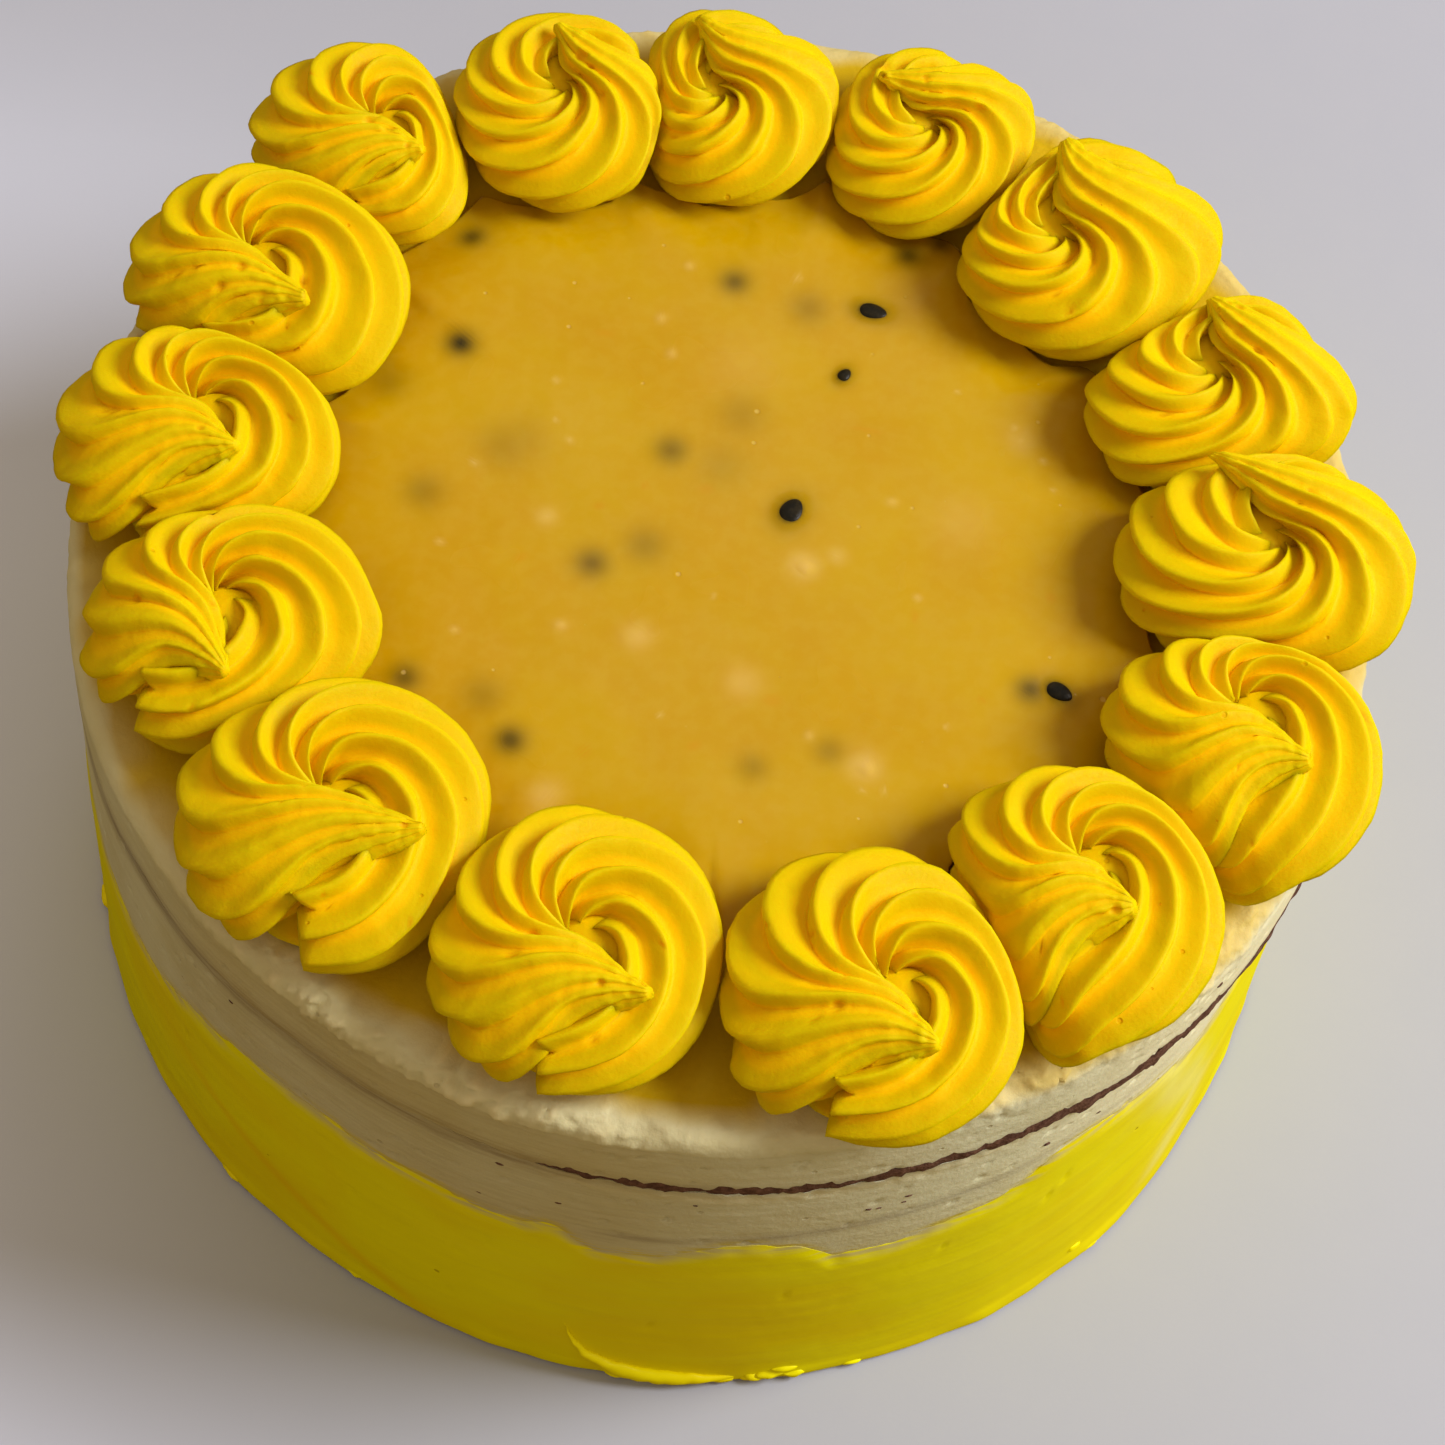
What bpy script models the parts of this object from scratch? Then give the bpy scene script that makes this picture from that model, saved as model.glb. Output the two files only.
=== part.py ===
"""Passion fruit cake: iced layers, a lake of fruit curd and a ring of piped swirls.

Metres, Z up. The origin is the middle of the flat underside, and -Y is the front.
"""
import math

import bmesh
import bpy
import numpy as np
from mathutils import Vector
from mathutils.bvhtree import BVHTree

MM = 0.001
GAP = 0.0003

# Layers, from the underside up
CAKE_RADIUS = 0.100
CAKE_HEIGHT = 0.092
LINE_BASE = 0.0757
LINE_THICKNESS = 0.0014
RIM_ROUND = 0.0045
COLUMNS = 96
# How far the wall stands out of round: angle in degrees, millimetres
WALL_REACH = (
    (0.0, -2.4), (20.0, -3.2), (45.0, -3.2), (70.0, -1.8), (95.0, -0.6), (125.0, 0.2), (155.0, 0.8),
    (180.0, 1.5), (205.0, 1.9), (222.0, 1.3), (240.0, 0.3), (270.0, 0.0), (310.0, 0.0), (340.0, -1.2),
)
# How far the wall under the dark line stands in from the wall over it
LOWER_SET_IN = (
    (0.0, 2.0), (30.0, 0.6), (60.0, 0.0), (180.0, 0.0), (270.0, 0.0), (300.0, 0.3), (318.0, 1.6),
    (335.0, 2.6), (348.0, 2.6),
)

# Yellow coat round the lower wall
COAT_FOOT = 0.0006
COAT_THICKNESS = 0.0030
COAT_PROUD = 0.0005
# Its wavy upper edge: angle round the cake in degrees, height in millimetres
COAT_EDGE = (
    (5.0, 57.0), (20.0, 52.0), (34.0, 54.0), (48.0, 60.0), (62.0, 57.0), (75.0, 51.0),
    (90.0, 54.0), (104.0, 58.0), (118.0, 53.0), (133.0, 50.0), (147.0, 55.0), (160.0, 58.0),
    (173.0, 52.0), (187.0, 49.0), (201.0, 48.0), (215.0, 45.0), (227.0, 53.5), (235.0, 55.4),
    (248.0, 54.7), (257.0, 52.2), (261.0, 54.4), (266.0, 49.8), (270.0, 51.3), (277.0, 57.5),
    (282.0, 56.3), (285.5, 46.2), (291.0, 48.2), (300.5, 53.0), (308.0, 61.5), (317.0, 60.6),
    (324.0, 58.6), (330.0, 64.0), (341.0, 60.0), (352.0, 54.0),
)

# Curd
CURD_HEIGHT = 0.0036
CURD_LEVELS = (0.0006, 0.0014, 0.0024, 0.0034)
CURD_REACH = 0.0800
CURD_COLUMNS = 168
CURD_ROUND = 0.0008

# Piped swirls
RIDGES = 10
RIDGE_SKEW = 0.55
RIDGE_COLUMNS = 8
BLADE_SHARE = 0.45
BLADE_POWER = 1.35
STATION_STEPS = 4
CLAW_REACH = 2.2
CLAW_STATIONS = 1.2
START_SLANT = 1.7
SLANT_STATIONS = 2.1
BACK_SWIRLS = 6
START_TUCK = 2.6
TUCK_STATIONS = 3.0
SWIRL_TRIANGLES = 610
VOXEL = 0.0007
PRESS_HEIGHT = 0.008
PRESS_SOFTNESS = 0.009

# One swirl as it is piped, in millimetres about its own centre: angle, path radius, half width,
# centre height, height over width, lean, twist, crease depth
RING_STATIONS = (
    (214, 16.0, 5.6, 4.0, 0.95, 0.00, -8, 0.30),
    (222, 15.4, 6.8, 5.2, 0.95, 0.00, 0, 0.32),
    (238, 14.2, 7.6, 6.6, 0.95, 0.00, 14, 0.32),
    (260, 12.0, 8.2, 7.4, 0.95, 0.00, 28, 0.32),
    (286, 10.7, 8.3, 7.6, 0.95, 0.00, 44, 0.32),
    (320, 9.6, 8.3, 7.7, 0.95, 0.00, 60, 0.32),
    (360, 9.5, 8.5, 7.8, 0.95, 0.00, 80, 0.32),
    (405, 10.6, 9.3, 8.2, 0.88, 0.00, 112, 0.32),
    (450, 12.0, 10.7, 8.6, 0.80, 0.00, 150, 0.34),
    (490, 13.0, 11.8, 8.9, 0.75, 0.04, 186, 0.36),
    (525, 12.9, 12.3, 9.3, 0.72, 0.10, 219, 0.38),
    (553, 11.9, 12.2, 9.8, 0.72, 0.18, 247, 0.38),
)
# Its pulled tail: x, y, half width, centre height, height over width, lean, twist, crease depth,
# heading
TAIL_STATIONS = (
    (-5.8, -5.4, 11.2, 10.6, 0.75, 0.26, 270, 0.38, 653),
    (-3.1, -6.6, 9.7, 11.6, 0.79, 0.36, 290, 0.38, 665),
    (-0.4, -7.6, 7.9, 12.6, 0.84, 0.46, 306, 0.38, 675),
    (2.1, -8.4, 5.9, 13.6, 0.90, 0.55, 318, 0.38, 682),
    (4.4, -9.0, 3.9, 14.7, 0.95, 0.60, 327, 0.36, 687),
    (6.2, -9.5, 2.1, 15.7, 1.00, 0.60, 331, 0.34, 690),
    (7.5, -9.8, 0.8, 16.5, 1.00, 0.60, 334, 0.30, 691),
    (8.5, -10.1, 0.1, 17.2, 1.00, 0.60, 336, 0.30, 691),
)
RING_CENTRE = (3.5, -1.5)
SWIRL_RIM = 21.8
EYE = np.array((6.0, -3.0))
TIP = np.array((8.5, -10.1))
TIP_POWER = 1.3
PLUG_RADIUS = 12.0
PLUG_HEIGHT = 4.0

# Where each swirl sits, and how its eye and tip lie: x, y, scale, turn, eye x, eye y, tip x, tip y
SWIRLS = (
    (-35.0, 71.4, 0.875, 150, 5.0, -5.0, 9.0, -10.5),
    (-8.7, 75.5, 0.850, 170, 4.0, -3.0, 8.5, -11.5),
    (23.9, 73.5, 0.820, 185, 2.5, -4.5, 9.0, -9.5),
    (50.1, 55.9, 0.990, 155, 7.0, 0.0, 13.0, -10.5),
    (71.1, 29.5, 0.980, 150, 5.5, -6.0, 12.0, -13.0),
    (79.3, 0.3, 1.060, 165, 2.0, -6.0, 12.0, -12.0),
    (77.1, -32.5, 0.995, 20, 5.0, 4.0, 7.0, -5.0),
    (54.0, -60.3, 1.023, 15, 5.5, 3.0, 6.5, -3.5),
    (26.6, -77.8, 1.055, 3, 5.0, -2.5, 8.0, -10.5),
    (-16.0, -76.0, 1.030, 15, 3.0, -2.0, 7.5, -11.5),
    (-52.4, -60.8, 1.085, 6, 1.5, 0.0, 8.5, -9.5),
    (-71.8, -30.9, 1.010, -18, -1.0, 0.0, 3.5, -10.5),
    (-82.3, 0.0, 1.008, 5, 3.0, 3.0, 6.0, -3.5),
    (-76.2, 29.9, 1.033, 0, 0.0, 1.5, 5.5, -5.5),
    (-65.0, 59.7, 0.890, 15, 5.5, 0.5, 9.5, -6.5),
)
# How each swirl meets the next: shift of the contact towards the next, and lean over it
CONTACTS = (
    (1.5, 20),
    (1.5, 20),
    (1.0, 15),
    (1.5, 15),
    (-1.0, -5),
    (-1.0, -5),
    (-2.0, -10),
    (-2.5, -10),
    (0.0, 0),
    (-0.5, 10),
    (2.0, 10),
    (2.0, 10),
    (1.5, 10),
    (1.5, 10),
    (-2.0, -20),
)

# Seeds that lie just under the surface of the curd: x, y, length, width, turn
SEEDS = (
    (17.0, 42.5, 4.8, 3.2, 0),
    (7.8, 4.0, 5.0, 3.9, 80),
    (13.7, 29.9, 2.6, 2.0, 60),
    (50.3, -22.0, 4.6, 3.4, -30),
)
SEED_RISE = 0.0005
SEED_THICKNESS = 0.0024

COLOURS = {
    "cake_body": ((0.83, 0.78, 0.60), 0.55),
    "dark_layer": ((0.07, 0.03, 0.02), 0.80),
    "cream_top": ((0.86, 0.80, 0.58), 0.55),
    "yellow_coat": ((0.80, 0.68, 0.02), 0.40),
    "passion_curd": ((0.60, 0.34, 0.05), 0.15),
    "swirl": ((0.95, 0.62, 0.01), 0.45),
}


def make_material(name):
    colour, roughness = COLOURS[name]
    material = bpy.data.materials.new(name)
    material.use_nodes = True
    shader = material.node_tree.nodes["Principled BSDF"]
    shader.inputs["Base Color"].default_value = (*colour, 1.0)
    shader.inputs["Roughness"].default_value = roughness
    shader.inputs["Metallic"].default_value = 0.0
    return material


def add_object(name, shape, material, smooth=True):
    bmesh.ops.recalc_face_normals(shape, faces=shape.faces)
    mesh = bpy.data.meshes.new(name)
    shape.to_mesh(mesh)
    shape.free()
    mesh.materials.append(material)
    for face in mesh.polygons:
        face.use_smooth = smooth
    piece = bpy.data.objects.new(name, mesh)
    bpy.context.scene.collection.objects.link(piece)
    return piece


def turned_solid(rows, columns, closed=False):
    """A solid from rows of (radius, height) by angle; open rows are capped at the axis."""
    shape = bmesh.new()
    rings = []
    for row in rows:
        ring = []
        for i in range(columns):
            angle = 2.0 * math.pi * i / columns
            radius, height = row(angle)
            ring.append(shape.verts.new((radius * math.cos(angle), radius * math.sin(angle), height)))
        rings.append(ring)
    pairs = list(zip(rings[:-1], rings[1:]))
    if closed:
        pairs.append((rings[-1], rings[0]))
    for lower, upper in pairs:
        for i in range(columns):
            j = (i + 1) % columns
            shape.faces.new((lower[i], lower[j], upper[j], upper[i]))
    if not closed:
        for ring in (rings[0], rings[-1]):
            middle = shape.verts.new((0.0, 0.0, ring[0].co.z))
            for i in range(columns):
                shape.faces.new((ring[i], ring[(i + 1) % columns], middle))
    return shape


def knot_value(knots, angle):
    """A value eased from knot to knot round the cake."""
    place = math.degrees(angle) % 360.0
    wrapped = (
        (knots[-1][0] - 360.0, knots[-1][1]),
        *knots,
        (knots[0][0] + 360.0, knots[0][1]),
    )
    for (start, low), (end, high) in zip(wrapped[:-1], wrapped[1:]):
        if start <= place <= end:
            share = (place - start) / (end - start)
            return low + (high - low) * share**2 * (3.0 - 2.0 * share)
    return wrapped[0][1]


def coat_edge(angle):
    """Height of the wavy upper edge of the yellow coat."""
    return knot_value(COAT_EDGE, angle) * MM


def wall_radius(angle):
    """The iced wall is a little out of round."""
    ripple = 0.25 * math.sin(3.0 * angle + 0.7) + 0.15 * math.sin(7.0 * angle)
    return CAKE_RADIUS + (ripple + knot_value(WALL_REACH, angle)) * MM


def lower_radius(angle):
    """The wall under the dark line, set in on one side."""
    return wall_radius(angle) - knot_value(LOWER_SET_IN, angle) * MM


def make_body():
    behind = COAT_THICKNESS + GAP
    rows = (
        lambda a: (lower_radius(a) - behind, 0.0),
        lambda a: (lower_radius(a) - behind, coat_edge(a) + GAP),
        lambda a: (lower_radius(a), coat_edge(a) + GAP),
        lambda a: (lower_radius(a), LINE_BASE),
    )
    add_object("cake_body", turned_solid(rows, COLUMNS), make_material("cake_body"))


def make_coat():
    rows = (
        lambda a: (lower_radius(a) - COAT_THICKNESS, COAT_FOOT),
        lambda a: (lower_radius(a) + COAT_PROUD, COAT_FOOT),
        lambda a: (lower_radius(a) + COAT_PROUD, coat_edge(a) - 0.0012),
        lambda a: (lower_radius(a) + 0.2 * COAT_PROUD, coat_edge(a)),
        lambda a: (lower_radius(a) - COAT_THICKNESS, coat_edge(a)),
    )
    shape = turned_solid(rows, COLUMNS, closed=True)
    add_object("yellow_coat", shape, make_material("yellow_coat"))


def make_dark_layer():
    base = LINE_BASE + GAP
    top = base + LINE_THICKNESS

    def edge(angle):
        return wall_radius(angle) + (0.15 * math.sin(31.0 * angle) - 0.15) * MM

    rows = (lambda a: (edge(a), base), lambda a: (edge(a), top))
    add_object("dark_layer", turned_solid(rows, COLUMNS), make_material("dark_layer"))


def torn_rim(angle):
    """How far the torn rim of the cream stands in from the wall."""
    bite = math.sin(11.0 * angle + 0.5) * math.sin(23.0 * angle + 1.3)
    return max(0.0, bite) * 1.6 * MM


def make_cream_top():
    base = LINE_BASE + LINE_THICKNESS + 2.0 * GAP
    top = CAKE_HEIGHT
    rows = (
        lambda a: (wall_radius(a), base),
        lambda a: (wall_radius(a), top - RIM_ROUND),
        lambda a: (wall_radius(a) - 0.25 * RIM_ROUND - 0.4 * torn_rim(a), top - 0.36 * RIM_ROUND),
        lambda a: (wall_radius(a) - 0.95 * RIM_ROUND - torn_rim(a), top),
    )
    add_object("cream_top", turned_solid(rows, COLUMNS), make_material("cream_top"))


def smooth_path(knots, steps):
    """A smooth curve through the knots, with the same number of steps between each two."""
    knots = np.asarray(knots, float)
    padded = np.vstack([2.0 * knots[0] - knots[1], knots, 2.0 * knots[-1] - knots[-2]])
    share = np.linspace(0.0, 1.0, steps, endpoint=False)[:, None]
    rows = []
    for i in range(1, len(padded) - 2):
        a, b, c, d = padded[i - 1:i + 3]
        bend = (2.0 * a - 5.0 * b + 4.0 * c - d) * share**2
        twist = (-a + 3.0 * b - 3.0 * c + d) * share**3
        rows.append(0.5 * (2.0 * b + (c - a) * share + bend + twist))
    rows.append(padded[-2][None])
    return np.vstack(rows)


def piping_stations():
    """Stations of the whole rope, evenly stepped from its claws to its tip."""
    rows = []
    for angle, radius, *section in RING_STATIONS:
        x = RING_CENTRE[0] + radius * math.cos(math.radians(angle))
        y = RING_CENTRE[1] + radius * math.sin(math.radians(angle))
        rows.append((x, y, *section, angle + 90.0))
    rows.extend(TAIL_STATIONS)
    return smooth_path(rows, STATION_STEPS)


def ridge_profile(share, depth):
    """Outline of one ridge of the star rope, from crease to crease, crest near its outer side."""
    across = np.abs(2.0 * share**RIDGE_SKEW - 1.0)
    arch = 1.0 - np.sqrt(np.maximum(0.0, 1.0 - (0.985 * across)**2))
    blade = across**BLADE_POWER
    return 1.0 - depth * ((1.0 - BLADE_SHARE) * arch + BLADE_SHARE * blade)


def shift_eye(points, eye, tip, tail_share):
    """Slides the eye and the tip to their own places; the rim of the swirl stays."""
    away = points[..., :2] - EYE
    distance = np.linalg.norm(away, axis=-1) + 1e-9
    facing = (away / distance[..., None]) @ EYE
    to_rim = np.sqrt(facing**2 + SWIRL_RIM**2 - EYE @ EYE) - facing
    pull = np.cos(0.5 * np.pi * np.clip(distance / to_rim, 0.0, 1.0))
    moved = points.copy()
    moved[..., :2] += pull[..., None] * (eye - EYE)
    moved[..., :2] += tail_share[:, None, None] * ((tip - TIP) - (eye - EYE))
    return moved


def swirl_grid(eye, tip, tuck):
    """Points of one upright star rope, row by row along its path, in millimetres."""
    x, y, width, height, tall, lean, twist, depth, heading = piping_stations().T
    heading = np.radians(heading)
    along = np.stack([np.cos(heading), np.sin(heading)], axis=1)
    outward = np.stack([along[:, 1], -along[:, 0]], axis=1)
    column = np.arange(RIDGES * RIDGE_COLUMNS) / RIDGE_COLUMNS
    around = 2.0 * np.pi * column[None, :] / RIDGES + np.radians(twist)[:, None]
    profile = ridge_profile((column % 1.0)[None, :], depth[:, None])
    radius = np.maximum(width, 0.1)[:, None] * profile
    side = np.cos(around) * radius
    rise = np.sin(around) * radius * tall[:, None]
    station = np.arange(len(x)) / STATION_STEPS
    crest = np.clip((profile - 1.0 + depth[:, None]) / depth[:, None], 0.0, 1.0)
    claw = CLAW_REACH * np.exp(-(station / CLAW_STATIONS)**2)[:, None] * np.sqrt(crest)
    slant = START_SLANT * np.exp(-(station / SLANT_STATIONS)**2)[:, None] * np.maximum(side, -2.0)
    back = rise * lean[:, None] + claw - slant
    side = side - tuck * np.exp(-(station / TUCK_STATIONS)**2)[:, None]
    px = x[:, None] + side * outward[:, :1] - back * along[:, :1]
    py = y[:, None] + side * outward[:, 1:] - back * along[:, 1:]
    pz = height[:, None] + rise
    pz = np.where(pz < 0.6, 0.6 * np.exp(np.minimum((pz - 0.6) / 0.6, 0.0)), pz)
    tail = (station - len(RING_STATIONS) + 1) / len(TAIL_STATIONS)
    return shift_eye(np.stack([px, py, pz], axis=-1), eye, tip, np.clip(tail, 0.0, 1.0)**TIP_POWER)


def swirl_place(index):
    x, y, scale, turn = SWIRLS[index][:4]
    return Vector((x * MM, y * MM, CAKE_HEIGHT + GAP)), scale, math.radians(turn)


def contact_planes(index):
    """Planes that hold one swirl off its two neighbours, as (point, outward normal)."""
    planes = []
    for step in (1, -1):
        first = index if step == 1 else (index - 1) % len(SWIRLS)
        second = (first + 1) % len(SWIRLS)
        shift, lean = CONTACTS[first]
        start, start_scale, _ = swirl_place(first)
        end, end_scale, _ = swirl_place(second)
        line = end - start
        point = start + line * start_scale / (start_scale + end_scale)
        line.normalize()
        point = point + line * shift * MM
        point.z += PRESS_HEIGHT
        normal = line * math.cos(math.radians(lean))
        normal.z = -math.sin(math.radians(lean))
        if step == -1:
            normal = -normal
        planes.append((point - normal * 0.5 * GAP, normal))
    return planes


def press(points, planes, centre):
    """Squeezes points that reach past a contact plane back behind it."""
    for point, normal in planes:
        limit = (point - centre).dot(normal)
        reach = (points - np.array(centre)) @ np.array(normal)
        most = reach.max()
        if most <= limit:
            continue
        start = limit - PRESS_SOFTNESS
        share = np.clip((reach - start) / (most - start), 0.0, 1.0)
        power = (most - start) / (limit - start)
        pressed = start + (limit - start) * (1.0 - (1.0 - share)**power)
        moved = np.where(reach > start, pressed - reach, 0.0)
        points = points + moved[:, None] * np.array(normal)[None, :]
    return points


def rope_shape(index):
    """The star rope of one swirl and the low plug in its eye, in place."""
    centre, scale, turn = swirl_place(index)
    eye_x, eye_y, tip_x, tip_y = SWIRLS[index][4:]
    tuck = START_TUCK if index < BACK_SWIRLS else 0.0
    grid = swirl_grid(np.array((eye_x, eye_y)), np.array((tip_x, tip_y)), tuck)
    rows, columns = grid.shape[:2]
    points = grid.reshape(-1, 3)
    ends = np.vstack([grid[0].mean(axis=0), grid[-1].mean(axis=0)])
    plug_angle = np.linspace(0.0, 2.0 * np.pi, 24, endpoint=False)
    plug_ring = np.stack([np.cos(plug_angle), np.sin(plug_angle)], axis=1) * PLUG_RADIUS
    plug_low = np.column_stack([plug_ring, np.zeros(24)])
    plug_high = np.column_stack([plug_ring * 0.9, np.full(24, PLUG_HEIGHT)])
    points = np.vstack([points, ends, plug_low, plug_high]) * scale * MM
    cosine = math.cos(turn)
    sine = math.sin(turn)
    turned = np.column_stack([
        cosine * points[:, 0] - sine * points[:, 1],
        sine * points[:, 0] + cosine * points[:, 1],
        points[:, 2],
    ])
    placed = press(turned + np.array(centre), contact_planes(index), centre)
    shape = bmesh.new()
    verts = [shape.verts.new(point) for point in placed]
    for i in range(rows - 1):
        for j in range(columns):
            k = (j + 1) % columns
            low = i * columns
            high = low + columns
            shape.faces.new((verts[low + j], verts[low + k], verts[high + k], verts[high + j]))
    start = rows * columns
    last = start - columns
    for j in range(columns):
        k = (j + 1) % columns
        shape.faces.new((verts[start], verts[k], verts[j]))
        shape.faces.new((verts[start + 1], verts[last + j], verts[last + k]))
    low = start + 2
    high = low + 24
    for j in range(24):
        k = (j + 1) % 24
        shape.faces.new((verts[low + j], verts[low + k], verts[high + k], verts[high + j]))
    shape.faces.new([verts[low + j] for j in reversed(range(24))])
    shape.faces.new([verts[high + j] for j in range(24)])
    return shape


def with_modifiers(shape):
    """Joins the rope and plug into one skin and thins it to the wanted triangle count."""
    mesh = bpy.data.meshes.new("rope")
    shape.to_mesh(mesh)
    shape.free()
    piece = bpy.data.objects.new("rope", mesh)
    bpy.context.scene.collection.objects.link(piece)
    skin = piece.modifiers.new("skin", "REMESH")
    skin.mode = "VOXEL"
    skin.voxel_size = VOXEL
    graph = bpy.context.evaluated_depsgraph_get()
    count = 2 * len(piece.evaluated_get(graph).data.polygons)
    thin = piece.modifiers.new("thin", "DECIMATE")
    thin.decimate_type = "COLLAPSE"
    thin.use_collapse_triangulate = True
    thin.ratio = SWIRL_TRIANGLES / count
    graph = bpy.context.evaluated_depsgraph_get()
    result = bmesh.new()
    result.from_mesh(piece.evaluated_get(graph).to_mesh())
    bpy.data.objects.remove(piece)
    bpy.data.meshes.remove(mesh)
    return result


def cut_flat(shape, point, normal):
    """Removes what lies past a plane and closes the cut."""
    geometry = shape.verts[:] + shape.edges[:] + shape.faces[:]
    result = bmesh.ops.bisect_plane(
        shape, geom=geometry, dist=1e-6, plane_co=point, plane_no=normal, clear_outer=True
    )
    edges = [item for item in result["geom_cut"] if isinstance(item, bmesh.types.BMEdge)]
    if edges:
        bmesh.ops.holes_fill(shape, edges=edges, sides=0)
    bmesh.ops.triangulate(shape, faces=shape.faces[:])


def make_swirl(index, material):
    centre, _, _ = swirl_place(index)
    shape = with_modifiers(rope_shape(index))
    for point, normal in contact_planes(index):
        cut_flat(shape, point, normal)
    cut_flat(shape, centre, Vector((0.0, 0.0, -1.0)))
    return add_object("swirl_%02d" % (index + 1), shape, material)


def curd_outline(swirls):
    """Distance from the axis to the nearest swirl, all the way round."""
    trees = []
    for piece in swirls:
        corners = [vertex.co for vertex in piece.data.vertices]
        faces = [tuple(face.vertices) for face in piece.data.polygons]
        trees.append(BVHTree.FromPolygons(corners, faces))
    outline = []
    for i in range(CURD_COLUMNS):
        angle = 2.0 * math.pi * i / CURD_COLUMNS
        direction = Vector((math.cos(angle), math.sin(angle), 0.0))
        nearest = CURD_REACH
        for level in CURD_LEVELS:
            start = Vector((0.0, 0.0, CAKE_HEIGHT + level))
            for tree in trees:
                found = tree.ray_cast(start, direction, CURD_REACH)
                if found[3] is not None:
                    nearest = min(nearest, found[3] - 2.0 * GAP)
        outline.append(nearest)
    return outline


def make_curd(swirls):
    outline = curd_outline(swirls)
    neighbours = [min(outline[i - 1], outline[i], outline[(i + 1) % CURD_COLUMNS])
                  for i in range(CURD_COLUMNS)]

    def edge(angle):
        return neighbours[int(round(angle * CURD_COLUMNS / (2.0 * math.pi))) % CURD_COLUMNS]

    base = CAKE_HEIGHT + GAP
    top = CAKE_HEIGHT + CURD_HEIGHT
    rows = (
        lambda a: (edge(a), base),
        lambda a: (edge(a), top - CURD_ROUND),
        lambda a: (edge(a) - CURD_ROUND, top),
    )
    shape = turned_solid(rows, CURD_COLUMNS)
    curd = add_object("passion_curd", shape, make_material("passion_curd"))
    seeds = bpy.data.collections.new("seeds")
    bpy.context.scene.collection.children.link(seeds)
    for number, (x, y, length, width, turn) in enumerate(SEEDS):
        grain = bmesh.new()
        bmesh.ops.create_uvsphere(grain, u_segments=12, v_segments=8, radius=0.5)
        mesh = bpy.data.meshes.new("grain")
        grain.to_mesh(mesh)
        grain.free()
        piece = bpy.data.objects.new("grain_%d" % number, mesh)
        piece.location = (x * MM, y * MM, top + SEED_RISE - 0.5 * SEED_THICKNESS)
        piece.scale = (length * MM, width * MM, SEED_THICKNESS)
        piece.rotation_euler = (0.0, 0.0, math.radians(turn))
        seeds.objects.link(piece)
    join = curd.modifiers.new("join", "BOOLEAN")
    join.operation = "UNION"
    join.operand_type = "COLLECTION"
    join.collection = seeds
    join.solver = "EXACT"
    graph = bpy.context.evaluated_depsgraph_get()
    joined = bpy.data.meshes.new_from_object(curd.evaluated_get(graph))
    curd.modifiers.clear()
    curd.data = joined
    for piece in list(seeds.objects):
        bpy.data.objects.remove(piece)
    bpy.data.collections.remove(seeds)


def main():
    for thing in list(bpy.data.objects):
        bpy.data.objects.remove(thing)
    make_body()
    make_dark_layer()
    make_cream_top()
    make_coat()
    swirl_material = make_material("swirl")
    swirls = [make_swirl(index, swirl_material) for index in range(len(SWIRLS))]
    make_curd(swirls)


main()
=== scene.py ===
import math

import bmesh
import bpy
import numpy as np
from mathutils import Matrix, Vector


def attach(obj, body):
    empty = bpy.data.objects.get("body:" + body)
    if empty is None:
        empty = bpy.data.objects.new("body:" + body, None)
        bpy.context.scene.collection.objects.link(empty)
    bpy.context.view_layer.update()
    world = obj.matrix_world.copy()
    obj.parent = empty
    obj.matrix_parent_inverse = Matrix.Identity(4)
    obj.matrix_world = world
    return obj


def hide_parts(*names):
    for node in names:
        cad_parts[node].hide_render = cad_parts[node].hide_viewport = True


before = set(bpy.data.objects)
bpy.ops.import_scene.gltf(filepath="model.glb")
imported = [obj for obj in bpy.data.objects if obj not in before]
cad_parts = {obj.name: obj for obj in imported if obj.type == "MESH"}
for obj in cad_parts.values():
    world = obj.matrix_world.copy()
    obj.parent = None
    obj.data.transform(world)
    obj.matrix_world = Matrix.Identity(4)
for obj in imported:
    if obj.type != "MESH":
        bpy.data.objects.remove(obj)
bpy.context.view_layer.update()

# Looks of a passion fruit cake: scraped cream over dark sponge, a yellow coat round the foot,
# a lake of fruit curd and a ring of piped swirls. Metres, Z up, -Y is the front.

BODY = "root"
MM = 0.001
GAP = 0.0003
FULL_TURN = 2.0 * np.pi
NOISE_CELLS = 32

# Layers, from the underside up, as in the solids
CAKE_RADIUS = 0.100
CAKE_HEIGHT = 0.092
LINE_BASE = 0.0757
LINE_THICKNESS = 0.0014
RIM_ROUND = 0.0030
RIM_START = CAKE_HEIGHT - RIM_ROUND
COAT_FOOT = 0.0006
COAT_THICKNESS = 0.0030
COAT_PROUD = 0.0005
COAT_THINNING = 0.0038
CURD_TOP = 0.0956

# Rows and columns of the wall pieces
WALL_COLUMNS = 1000
CREAM_ROWS = 42
COAT_ROWS = 36
SIDE_ROWS = 20
RIM_ROWS = 13
# Edges sharper than this angle, in degrees, stay crisp
CRISP_EDGE = 60
# How far the wall's cream runs down behind the coat's thin edge, and over the closed dark line;
# elsewhere a hair's breadth is left between cream and line
COAT_LAP = 0.0005
LINE_LAP = 0.0003
HAIR = 0.00008
# How far the layers reach in behind the wall, and how the lower wall flares to meet the line
TAPER = 0.0025
FLARE = 0.45
FLARE_START = LINE_BASE - 0.0030
# How far the sponge stands out of the wall, and how far it draws back where cream closes over it
SPONGE_PROUD = 0.12
SPONGE_DRAWN_BACK = 1.1
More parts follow.
